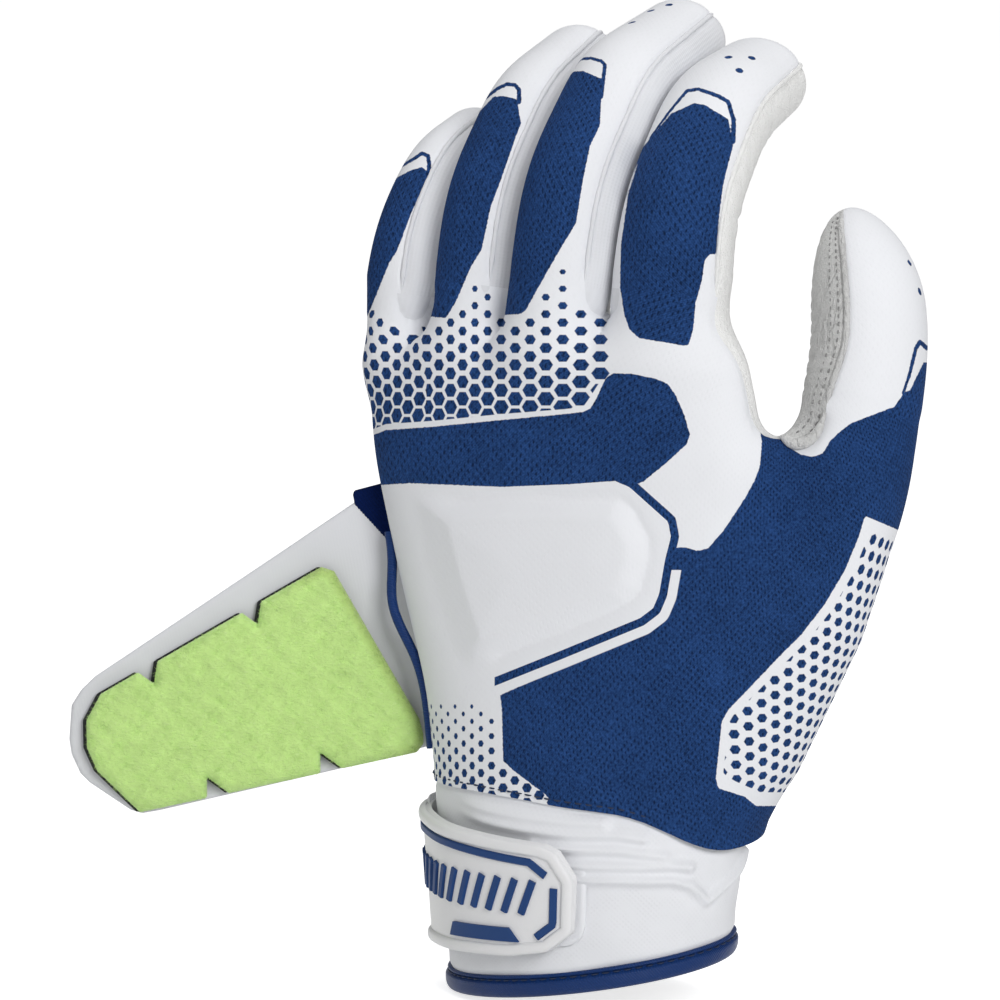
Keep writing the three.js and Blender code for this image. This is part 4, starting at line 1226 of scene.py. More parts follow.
def hand_skin():
    """Triangles of the whole hand skin with its normals, cut off at finger roots, thumb joint and cuff."""
    points, faces = net(glove_field, *SKIN_BOX, size("net_step"))
    for _ in range(2):
        slope = gradient(glove_field, points)
        step = glove_field(points) / np.maximum((slope ** 2).sum(1), 0.2)
        points = points - np.clip(step, -0.6, 0.6)[:, None] * slope
    triangles = np.concatenate([faces[:, [0, 1, 2]], faces[:, [0, 2, 3]]])
    points, triangles = clip(points, triangles, to_ends(points))
    points, triangles = clip(points, triangles, points[:, 2] - cuff_line(points))
    return points, triangles, unit(gradient(glove_field, points))


def cushion_height(plane):
    """Rise of the cushion and distance to its outline: rounded step, slight crown, pressed groove."""
    d = inside(plane, CUSHION)
    left = smooth((8 - plane[:, 0] + np.interp(plane[:, 1], *zip(*CUSHION_LEFT))) / 6)
    step = size("cushion_rise") * smooth(0.5 - (d + 2) / (5.5 + 4.5 * left))
    return step + 0.5 * smooth(-(d + 2) / 14) - 0.28 * (1 - left) * bell((d - 0.4) / 1.1), d


def contour(points, triangles, height, level):
    """Points where a height over the skin equals a level."""
    cut, _ = clip(np.concatenate([points, height[:, None]], 1), triangles, height - level)
    return cut[np.abs(cut[:, 3] - level) < 2e-3, :3]


def even_line(points, order, step, reach=5):
    """Scattered points of one line put in order, evened out and spaced."""
    line = points[np.argsort(order)]
    kernel = np.hanning(2 * reach + 1)[1:-1] / np.hanning(2 * reach + 1).sum()
    return spaced(evened(line, kernel)[::3], step)


class GLOVE_OT_hand(bpy.types.Operator):
    """Hand skin: knit back with its print and cushion, and the leather palm."""
    bl_idname = "glove.hand"
    bl_label = "Hand"

    def execute(self, context):
        points, triangles, normals = hand_skin()
        split = palm_side(points, normals)
        self.crotch(points, triangles, split)
        for name, way in (("back", -1), ("palm", 1)):
            p, t = clip(points, triangles, way * split)
            n = unit(gradient(glove_field, p))
            seam = palm_side(p, n)
            ease = smooth(to_ends(p) / 4)
            at_cuff = smooth(1 - (p[:, 2] - cuff_line(p)) / 3)
            height = 0.35 * at_cuff - size("seam_depth") * bell(seam / 1.6) * ease
            if name == "palm":
                x, _, z = p.T
                height = height + 0.2 * ease * np.sin(z * 0.33 + x * 0.2) * np.sin(x * 0.13)
                for fold in PALM_FOLDS:
                    far = beside(p[:, [0, 2]], fold, 0, 0) + 0.4 * np.sin(x * 0.7 + z * 0.4)
                    crease = 0.35 * bell((far - 2.6) / 1.6) - 0.7 * bell(far / 1.1)
                    height = height + crease * smooth((n[:, 1] - 0.4) / 0.3)
                self.write("hand_palm_leather", p + height[:, None] * n, t, n, "palm_leather", "sheepskin",
                           "palm_panel", bare(2 * len(p)))
                continue
            fabric = flatten(p, t, n)
            plane = on_plane(p)
            rise, d = cushion_height(plane)
            p = p + (height + rise * (n @ PLANE_OUT > 0))[:, None] * n
            raised = smooth(-(inside(plane, PAD_AREA) + 0.3) / 0.6)
            marks = print_on(p, fabric, raised)
            away = (n @ PLANE_OUT < -0.35) & (p[:, 0] > 0) & (THUMB.local(p)[2] < -2)
            marks["print"][:, 0] += 30 * away
            webs = np.min([inside(plane, outline) for outline in WEBS], axis=0)
            webs = np.where((n @ PLANE_OUT > -0.2) & (p[:, 2] > 130), webs, 9)
            p = p - (0.5 * bell(webs / 0.8) * smooth((9 - webs) / 4) * ease)[:, None] * n
            whole = np.concatenate([p, n, *marks.values(), d[:, None], webs[:, None]], 1)
            for piece, look, node, outline, web in (
                    ("hand_back_knit", "printed_knit", "back_panel", 1, 1),
                    ("hand_cushion", "printed_knit", "back_pad", -1, 1),
                    ("hand_finger_webs", "side_knit", None, 1, -1)):
                q, f = clip(whole, t, outline * (whole[:, -2] - 0.4))
                q, f = clip(q, f, web * q[:, -1])
                front = dict(zip(marks, np.split(q[:, 6:-2], 4, axis=1)))
                marked = both(front, bare(len(q), front["fabric"]))
                made = self.write(piece, q[:, :3], f, unit(q[:, 3:6]), look, "white_knit", node, marked)
        return {"FINISHED"}

    @staticmethod
    def crotch(points, triangles, split):
        """Rolled leather lip over the web of the thumb, and the thumb's two rows of stitches down to it."""
        def near(line):
            x, y, z = line.T
            return line[(x > 35) & (y < 26) & (z > 96) & (z < 126)]
        seam = near(contour(points, triangles, split, 0.0))
        seam = seam[on_plane(seam)[:, 0] > LIP_LEFT]
        path = even_line(seam, on_plane(seam)[:, 0], 0.5)
        out = unit(gradient(glove_field, path))
        t = np.linspace(0, 1, len(path))
        fat = (0.45 + 0.65 * np.sin(np.pi * np.clip(t * 1.15, 0, 1)) ** 0.6)[:, None, None]
        bead = sweep(path + 0.35 * out, out, fat * circle(16) * (1.25, 1))
        lip = write("crotch_lip", *bead, finish("palm_leather"), "sheepskin")
        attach(lip, "hand")
        rows = []
        for level in (1.3, 3.5):
            row = near(contour(points, triangles, split, level))
            row = row[on_plane(row)[:, 0] > 45]
            place = THUMB.local(row)[0]
            line = even_line(row[place > 80], place[place > 80], 0.5)
            rows.append(stitches(line, gradient(glove_field, line), closer=1.4))
        piece = write("crotch_stitches", *gather(rows), finish("leather_thread"), "sheepskin")
        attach(piece, "hand")

    @staticmethod
    def write(name, p, t, n, look, slot, node, marks):
        points, faces = shell(p, t, n, size("skin"))
        piece = write(name, points, faces, finish(look), slot, marks)
        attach(piece, "hand")
        if node:
            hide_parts(node)
        return piece


# ---------------------------------------------------------------- digits

def digit_strip(digit, start, low, high, rows, columns, seam, crease=0.0, folds=()):
    """Strip of a digit between two angles round it, low and high, from a start to the tip.

    It is made of ovals drawn in over a round end. Its long edges dip into seams, and creases and folds
    cross it. Given back are its outer and inner grid, its fabric places, a function for lines along it
    and its mean width.
    """
    straight = np.linspace(start, digit.length - digit.tip, rows)
    dome = np.linspace(0, np.pi / 2, 22)[1:]
    s = np.concatenate([straight, digit.length - digit.tip + digit.tip * np.sin(dome)])
    k = np.concatenate([np.ones(rows), np.cos(dome)])
    a, b = digit.half(s)
    first, last = low(b, s), high(b, s)
    t = np.linspace(0, 1, columns)
    angle = first[:, None] + (last - first)[:, None] * t
    wide = (last - first)[:, None] * (a + b)[:, None] / 2
    edge = np.minimum(t, 1 - t) * wide
    near = smooth((s - start) / 4)[:, None]
    dip = -seam * bell(edge / 0.9) * near + 0.25 * smooth(edge / 5) * near
    along = s[:, None] + 0 * t
    across = wide * (t - 0.5)
    if crease:
        dip = dip - crease * (0.5 + 0.5 * np.sin(along * 1.9 + 0.6 * np.sin(across * 0.45))) ** 3 * near
    for place in folds:
        far = along - place + 0.5 * np.cos(across * 0.35)
        dip = dip + (0.3 * bell((np.abs(far) - 2.4) / 1.4) - 0.7 * bell(far / 1.0)) * np.sin(np.pi * t) ** 2

    def grid(drop):
        w = k[:, None] * (a[:, None] + drop) * np.cos(angle)
        n = k[:, None] * (b[:, None] + drop) * np.sin(angle)
        return digit.at(along, w, n)
    fill = -glove_field(grid(0 * dip).reshape(-1, 3)).reshape(dip.shape)
    lift = np.clip(fill, 0, 2) * (1 - smooth((s - start) / 9))[:, None]
    outer, inner = grid(dip + lift), grid(lift - size("skin"))
    fabric = np.stack([across + 3.3 * np.round(first.mean()), along], -1).reshape(-1, 2)

    def line(t_place):
        place = first + (last - first) * t_place
        c, d = np.cos(place), np.sin(place)
        return digit.at(s, k * a * c, k * b * d), c[:, None] * digit.side + d[:, None] * digit.frame(s)[2]
    return outer, inner, fabric, line, wide.mean()


def bend_at(piece, digit, joint, reach):
    """Bakes a piece's placement into its mesh; the span round a joint's place is worked out, but the piece
    is not made to bend.
    """
    centre, along, _ = digit.frame(joint)
    (centre - reach * along) * MM
    (centre + reach * along) * MM
    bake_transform(piece)


def side_angle(height, start=None, ease_from=0.0):
    """Angle round an oval where its side stands a height to the nail, eased in from an angle at a start."""
    def angle(b, s):
        full = np.arcsin(np.clip(height / b, -0.95, 0.95))
        return full if start is None else ease_from + (full - ease_from) * smooth((s - start) / 16)
    return angle


def other_side(seam):
    """The same seam on the other side of a digit."""
    return lambda b, s: np.pi - seam(b, s)


def once_round(seam):
    """The same seam, reached after a whole turn."""
    return lambda b, s: 2 * np.pi + seam(b, s)


def strip_piece(name, outer, inner, fabric, look, slot, owner=None):
    """Piece between the two grids of a strip; with an owner, its outside carries that digit's print."""
    plain = bare(len(fabric), fabric)
    marks = plain if owner is None else print_on(outer.reshape(-1, 3), fabric, owner=owner)
    return write(name, *slab(outer, inner), finish(look), slot, both(marks, plain))


def seam_bead(line, t, fat):
    """Folded seam edge: a round bead along a strip's edge, thinning out at both ends, slightly uneven."""
    path, out = (rows[:-4] for rows in line(t))
    share = np.linspace(0, 1, len(path))
    ends = np.minimum(1, np.minimum(share, 1 - share) * 14)
    thick = fat * ends * (1 + 0.12 * np.sin(share * 95) * np.sin(share * 31))
    return sweep(path - 0.15 * unit(out), out, np.maximum(thick, 0.05)[:, None, None] * circle(12))


class GLOVE_OT_fingers(bpy.types.Operator):
    """Four fingers: printed backs, leather fronts, side strips and their seam stitches."""
    bl_idname = "glove.fingers"
    bl_label = "Fingers"

    def execute(self, context):
        up, down = side_angle(SIDE_STRIP), side_angle(-SIDE_STRIP)
        for order, (name, digit) in enumerate(DIGITS.items()):
            wrapped = FINGERS[name][-1]
            inner_up = side_angle(INNER_STRIP.get(name, SIDE_STRIP))
            folds = [place for place, _, _ in FINGERS[name][3]]
            joint = folds[0]
            right = up if wrapped > 0 else down
            left = up if wrapped < 0 else down
            strips = [
                ("back_knit", inner_up, other_side(up), "printed_knit", "white_knit",
                 [f"{name}_back", f"{name}_tip_back"]),
                ("front_leather", other_side(left), once_round(right), "palm_leather", "sheepskin",
                 [f"{name}_leather", f"{name}_tip_leather"]),
            ]
            tip_side = f"{name}_tip_gusset" if wrapped == 0 else f"{name}_tip_side"
            if wrapped <= 0:
                node = f"{name}_side_inner" if wrapped == 0 else f"{name}_side"
                strips.append(
                    ("inner_side_knit", down, inner_up, "side_knit", "white_knit", [node, tip_side]))
            if wrapped >= 0:
                nodes = [f"{name}_side_outer"] if wrapped == 0 else [f"{name}_side", tip_side]
                strips.append(
                    ("outer_side_knit", other_side(up), other_side(down), "side_knit", "white_knit", nodes))
            threads = []
            for label, low, high, look, slot, nodes in strips:
                is_back, is_front = label == "back_knit", label == "front_leather"
                rows = int((digit.length - digit.tip - FINGER_CUT) / (0.38 if is_back else 0.7))
                columns = 84 if is_back else 48 if is_front else 14
                outer, inner, fabric, line, wide = digit_strip(
                    digit, FINGER_CUT, low, high, rows, columns, size("seam_depth"),
                    *((0.07, folds) if is_front else ()))
                owner = order if is_back else None
                piece = strip_piece(f"{name}_{label}", outer, inner, fabric, look, slot, owner)
                bend_at(piece, digit, joint, FINGER_BEND)
                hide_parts(*nodes)
                if is_back:
                    edge = ("palm_leather", "sheepskin") if wrapped > 0 else ("side_knit", "white_knit")
                    bead = write(f"{name}_seam_bead", *seam_bead(line, 0.0, 0.55), finish(edge[0]), edge[1])
                    bend_at(bead, digit, joint, FINGER_BEND)
                if is_front:
                    first, last = SEAM_STITCH / wide, 1 - SEAM_STITCH / wide
                    places = {1: [first], -1: [last], 0: [first, last]}[wrapped]
                    threads += [stitches(*(rows[:-6] for rows in line(t))) for t in places]
            piece = write(f"{name}_stitches", *gather(threads), finish("pale_thread"), "sheepskin")
            bend_at(piece, digit, joint, FINGER_BEND)
        return {"FINISHED"}


class GLOVE_OT_thumb(bpy.types.Operator):
    """Thumb above the hand skin: knit back, leather front with two rows of stitches."""
    bl_idname = "glove.thumb"
    bl_label = "Thumb"

    def execute(self, context):
        nail = THUMB.frame(THUMB_CUT)[2]
        turn = math.atan2(-THUMB.side @ THUMB_FACING, nail @ THUMB_FACING)
        inner_seam = side_angle(THUMB_SEAM, THUMB_CUT, -turn)
        outer_seam = side_angle(-THUMB_SEAM, THUMB_CUT, turn)
        strips = [
            ("thumb_back_knit", outer_seam, other_side(inner_seam), "printed_knit", "white_knit", "back"),
            ("thumb_front_leather", other_side(inner_seam), once_round(outer_seam), "palm_leather",
             "sheepskin", "leather"),
        ]
        threads = []
        for name, low, high, look, slot, part in strips:
            is_back = part == "back"
            rows, columns = (90, 110) if is_back else (70, 64)
            outer, inner, fabric, line, wide = digit_strip(
                THUMB, THUMB_CUT, low, high, rows, columns, size("seam_depth"), 0.0 if is_back else 0.22)
            piece = strip_piece(name, outer, inner, fabric, look, slot, -1 if is_back else None)
            bend_at(piece, THUMB, THUMB_JOINT, THUMB_BEND)
            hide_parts(f"thumb_{part}", f"thumb_tip_{part}")
            if not is_back:
                places = [1.9 / wide, 3.9 / wide, 1 - 1.2 / wide, 1 - 3.4 / wide]
                threads = [stitches(*(rows[:-7] for rows in line(t)), closer=1.4) for t in places]
                bead = seam_bead(line, 0.0, 0.7)
                bead = write("thumb_seam_bead", *bead, finish("palm_leather"), "sheepskin")
                bend_at(bead, THUMB, THUMB_JOINT, THUMB_BEND)
        piece = write("thumb_stitches", *gather(threads), finish("leather_thread"), "sheepskin")
        bend_at(piece, THUMB, THUMB_JOINT, THUMB_BEND)
        return {"FINISHED"}


# ---------------------------------------------------------------- cuff, hem and strap

# Mean radius by which lengths along the wrist become angles.
WRIST_RADIUS = 29.5


def wrist(angle, z, out=0.0):
    """Point on the wrist's oval at an angle and height, a distance out from it."""
    cx, cy, a, b = section(z)
    c, s = np.cos(angle), np.sin(angle)
    way = unit(np.stack([c / a, s / b, 0 * z + 0 * c], -1))
    base = np.stack([cx + a * c, cy + b * s, z + 0 * c], -1)
    return base + np.asarray(out)[..., None] * way


def hem_line(points):
    """Height of the hem's lower edge: it rises to the thumb side and to the palm."""
    return 0.16 * points[..., 0] - 2.5 + 0.083 * (points[..., 1] + 24)


def along_wrist(u):
    """Angle round the wrist of a length u from the middle of its back."""
    return -np.pi / 2 + np.asarray(u, float) / WRIST_RADIUS


def on_cuff(u, z, out):
    """Point on the cuff: u along the wrist, z up, a distance out."""
    z = np.asarray(z, float)
    return wrist(along_wrist(u), z + 0 * np.asarray(u, float), np.asarray(out, float) + 0 * z)


# Pressed ribs on the cuff: lines (u, z) of raised folds.
CUFF_RIBS = [
    [(-24, 38.4), (-8, 37.5), (6, 36.9), (13, 36.9)],
    [(-24, 36.2), (-8, 35.0), (7, 34.2), (16, 34.6), (21, 33.8)],
    [(0, 31.0), (16.5, 31.3), (25.7, 29.9)],
    [(7, 27.4), (16.7, 27.8), (27.5, 27.8), (31.9, 27.2)],
    [(7, 24.4), (16.7, 24.8), (27.8, 24.5), (32.4, 23.0), (37.1, 19.3), (41.7, 21.5), (47.6, 24.0),
     (54, 28)],
]


class GLOVE_OT_cuff(bpy.types.Operator):
    """Cuff sleeve with its pressed ribs, the hem binding and their stitches."""
    bl_idname = "glove.cuff"
    bl_label = "Cuff and hem"

    def execute(self, context):
        angle = np.linspace(-np.pi / 2 - np.pi, np.pi / 2, 361)[:-1]
        share = np.linspace(0, 1, 90)[:, None]
        base = wrist(angle, np.full_like(angle, 15.0))
        low, high = hem_line(base) + 2.0, cuff_line(wrist(angle, SEAM_SEAT + 0 * angle)) + 2.0
        z = low + share * (high - low)
        u = (angle + np.pi / 2) * WRIST_RADIUS + 0 * z
        flat = np.stack([u.ravel(), z.ravel()], 1)
        relief = np.zeros(len(flat))
        for rib in CUFF_RIBS:
            d = beside(flat, rib, 0, 0)
            relief += 1.6 * bell(d / 1.2) * smooth((flat[:, 0] + 22) / 12)
        relief = relief.reshape(z.shape)
        relief += 0.3 * np.sin(u * 0.21 + z * 0.15) * np.sin(z * 0.28 + 1)
        tuck = -0.9 * smooth((z - high + 4.0) / 3) - 0.9 * smooth((low + 4.5 - z) / 2.5)
        outer = wrist(angle + 0 * z, z, relief + tuck)
        inner = wrist(angle + 0 * z, z, -1.6 + 0 * z)
        points, faces = slab(outer, inner, around=True)
        fabric = np.concatenate([flat, flat])
        piece = write("cuff_sleeve_fabric", points, faces, finish("cuff_fabric"), "white_lycra",
                      {"fabric": np.stack([fabric[:, 0], fabric[:, 1], 0 * fabric[:, 0]], 1)})
        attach(piece, "hand")
        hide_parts("cuff_sleeve")

        turn = np.linspace(0, 2 * np.pi, 56, endpoint=False)
        rise = BINDING_HEIGHT / 2 * (1 + np.sign(np.sin(turn)) * np.abs(np.sin(turn)) ** 0.8)
        swell = -0.7 + 1.5 * np.sign(np.cos(turn)) * np.abs(np.cos(turn)) ** 0.7
        swell = swell - 0.9 * bell((rise - 3.9) / 0.4) * (np.cos(turn) > 0)
        foot = wrist(angle, np.zeros_like(angle))
        grid = wrist(angle[:, None] + 0 * rise, hem_line(foot)[:, None] + rise, swell + 0 * angle[:, None])
        index = np.arange(grid.shape[0] * grid.shape[1]).reshape(grid.shape[:2])
        index = looped(looped(index).T).T
        flat = np.zeros(grid.shape[:2])
        fabric = np.stack([WRIST_RADIUS * angle[:, None] + flat, rise * 1.4 + swell + flat, flat], -1)
        piece = write("hem_tape", grid.reshape(-1, 3), quads(index), finish("hem_tape"), "blue_binding",
                      {"fabric": fabric.reshape(-1, 3)})
        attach(piece, "hand")
        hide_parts("hem_binding")

        ring = np.append(angle, angle[0] + 2 * np.pi)
        foot = wrist(ring, np.zeros_like(ring))
        out = unit(wrist(ring, 0 * ring, 1 + 0 * ring) - foot)
        hem = wrist(ring, hem_line(foot) + 3.9, 0.05 + 0 * ring)
        seat = wrist(ring, SEAM_SEAT + 0 * ring)
        seam = wrist(ring, cuff_line(seat) + 1.3, 0.45 + 0 * ring)
        rows = gather([stitches(hem, out), stitches(seam, out)])
        piece = write("cuff_stitches", *rows, finish("blue_thread"), "blue_binding")
        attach(piece, "hand")
        return {"FINISHED"}


def lay_of(base, u):
    """Distance of a strap layer from the cuff: where no patches lie under it, the strap comes closer."""
    return base - min(base, 1.5) * 0.85 * smooth((-15 - u) / 14)


def cuff_patch(u0, u1, low, high, base, thick, flare=0.0, corner=0.0):
    """Strip lying on the cuff between two level lines, with rounded edges, and its fabric places.

    flare lifts its upper edge off the cuff, and there that edge falls to the front; corner rounds its
    lower front corner.
    """
    rows, columns = max(8, int(u1 - u0) * 2), 48
    u = np.linspace(u0, u1, rows)[:, None] + np.zeros((1, columns))
    t = np.linspace(0, 1, columns)[None, :]
    high = high - (9.0 if flare else 0.0) * smooth((u + 42) / 18)
    low = low + corner * (1 - np.sqrt(1 - np.clip(1 - (u1 - u) / max(corner, 1e-3), 0, 1) ** 2))
    z = low + (high - low) * t
    edge = np.minimum(np.minimum(u - u0, u1 - u), np.minimum(z - low, high - z))
    base = lay_of(base, u) + flare * smooth((z - 27) / 9) * bell((u + 44) / 13)
    outer = on_cuff(u, z, base + thick * (0.35 + 0.65 * rounded(edge, 0.8)))
    inner = on_cuff(u, z, base)
    flat = np.stack([u, z, 0 * z], -1).reshape(-1, 3)
    points, faces = slab(outer, inner)
    return points, faces, {"fabric": np.concatenate([flat, flat])}


class GLOVE_OT_strap(bpy.types.Operator):
    """Closing strap: anchor, elastic band, hook and loop patches, moulded tab, rim, trims and grip bars."""
    bl_idname = "glove.strap"
    bl_label = "Strap"

    def execute(self, context):
        lay1, lay2, lay3 = LAYERS
        patches = [
            ("cuff_loop_pile", (-24, 10.6, 9.5, 28, lay1, 0.7), {"corner": 5.0},
             "cuff_fabric", "white_webbing", "hand", "cuff_loop_patch"),
            ("strap_hook_face", (-17, 2, 11.5, 22, lay2, 0.9), {},
             "hook", "hook_plastic", "strap", "strap_hook_patch"),
            ("strap_elastic", (-62, -19, 8, 35.2, lay2, 0.7), {"flare": 2.4},
             "webbing", "white_webbing", "strap", "strap_band"),
            ("strap_anchor_fold", (-68.3, -62.3, 6, 29, lay1, 2.1), {},
             "webbing", "white_webbing", "hand", "strap_anchor"),
        ]
        for name, place, shape, look, slot, body, node in patches:
            points, faces, marks = cuff_patch(*place, **shape)
            piece = write(name, points, faces, finish(look), slot, marks)
            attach(piece, body)
            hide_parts(node)
        self.tab(lay3)
        return {"FINISHED"}

    @staticmethod
    def tab(base):
        """Tab between its lower and upper outline, with rounded edges; rim, trims and bars lie on it."""
        line = np.array(TAB_OUTLINE, float)
        low, high = line[:6], line[5:][::-1]
        u = np.concatenate([np.linspace(-47, 0, 90), np.linspace(0, 9.3, 40)[1:]])[:, None]
        t = np.linspace(0, 1, 64)[None, :]
        z0, z1 = (np.interp(u, *edge.T) for edge in (low, high))
        z = z0 + (z1 - z0) * t
        u = u + 0 * t
        d = -inside(np.stack([u.ravel(), z.ravel()], 1), line).reshape(u.shape)
        tab_base, base = base, lay_of(base, u)
        outer = on_cuff(u, z, base + 2.0 * rounded(d, 1.4) + 0.1)
        inner = on_cuff(u, z, base)
        points, faces = slab(outer, inner)
        tab = write("strap_tab_moulding", points, faces, finish("white_rubber"), "white_rubber")
        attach(tab, "strap")
        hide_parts("strap_tab")

        half_round = lambda width, height: [
            (-width / 2, -0.5), *[(-width / 2 * math.cos(a), height * math.sin(a) ** 0.7)
                                  for a in np.linspace(0.12, math.pi - 0.12, 9)], (width / 2, -0.5)]
        flat_top = lambda width, height: [
            (-width / 2, -0.5), (-width / 2, height * 0.6), (-width / 2 + 0.25, height),
            (width / 2 - 0.25, height), (width / 2, height * 0.6), (width / 2, -0.5)]

        def on_tab(path, profile):
            path = spaced(path, 0.8)
            rest = lay_of(tab_base, path[:, 0])
            p = on_cuff(path[:, 0], path[:, 1], rest + 2.0)
            out = unit(on_cuff(path[:, 0], path[:, 1], rest + 3.0) - p)
            return sweep(p, out, profile)
        rim = [(-46, 33.0), (-16, 32.0), (3.0, 31.0), (5.2, 30.0), (8.1, 24.8), (8.0, 14.2), (4.0, 10.2),
               (-3.2, 8.4), (-17, 7.2), (-46, 5.0)]
        trims = {
            "strap_trim_top": [(-46, 30.4), (-17, 29.7), (1.2, 28.4), (4.2, 25.8)],
            "strap_trim_end": [(5.7, 23.2), (5.6, 15.2), (2.6, 12.2)],
        }
        made = [("strap_rim_bead", [on_tab(rim, half_round(2.6, 1.0))], "white_rubber", "strap_rim")]
        for node, path in trims.items():
            made.append((node + "_bar", [on_tab(path, flat_top(1.7, 0.75))], "blue_rubber", node))
        t = np.linspace(0, 1, 9)
        u = -17.2 + 1.2 * t + (16.4 - 3.2 * t) * np.linspace(0, 1, 40)[:, None]
        z = 9.4 + 0.075 * (u + 17) + 3.1 * t
        plate_low = slab(*(on_cuff(u, z, lay_of(tab_base, u) + out) for out in (2.75, 1.5)))
        made.append(("strap_trim_low_bar", [plate_low], "blue_rubber", "strap_trim_low"))
        bars = [on_tab([(x - 1.1, 17.0), (x + 1.1, 24.4)], flat_top(1.7, 0.8))
                for x in np.arange(-40.0, 2.6, 3.4)]
        made.append(("strap_grip_bars", bars, "blue_rubber", None))
        for name, parts, look, node in made:
            piece = write(name, *gather(parts), finish(look), look)
            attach(piece, "strap")
            if node:
                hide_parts(node)


# ---------------------------------------------------------------- leaf

LEAF_FACE = np.cross(LEAF_OUT, LEAF_DOWN)


def on_leaf(u, v, height):
    """Point of the leaf's plane, a height towards the felt; the leaf bows a little away from it."""
    bow = 1.2 * (u / 80.0) ** 2
    return (LEAF_TOP + u[..., None] * LEAF_OUT + v[..., None] * LEAF_DOWN
            + (height - bow)[..., None] * LEAF_FACE)


def notched(start, end, inward, cuts):
    """Felt edge with two narrow V cuts at shares of its length."""
    start, end, inward = (np.asarray(x, float) for x in (start, end, inward))
    length = np.linalg.norm(end - start)
    along = (end - start) / length
    points = [start]
    for share in cuts:
        points += [start + along * (share * length + step) + inward * deep
                   for step, deep in ((-0.5, 0.0), (0.3, 4.6), (4.6, 0.0))]
    return [*points, end]


def plate(outline, base, profile, step):
    """Closed flat piece over an outline: a grid of triangles cut along the outline, raised by profile,
    which gives the height at each depth in from the edge, and closed by its own copy at the base."""
    low, high = outline.min(0) - step, outline.max(0) + step
    counts = np.ceil((high - low) / step).astype(int) + 1
    grid = low + step * np.stack(np.meshgrid(*map(np.arange, counts), indexing="ij"), -1).reshape(-1, 2)
    cells = quads(np.arange(counts[0] * counts[1]).reshape(counts))
    triangles = np.concatenate([cells[:, [0, 1, 2]], cells[:, [0, 2, 3]]])
    flat, triangles = clip(grid, triangles, -inside(grid, outline))
    u, v = flat.T
    depth = np.maximum(0, -inside(flat, outline))
    top = on_leaf(u, v, base + profile(depth, u, v))
    n = len(flat)
    points, faces = shell(top, triangles, np.zeros_like(top), 0.0)
    points[n:] = on_leaf(u, v, np.full(n, base))
    fabric = np.stack([u, v, depth], 1)
    return points, faces, {"fabric": np.concatenate([fabric, fabric])}


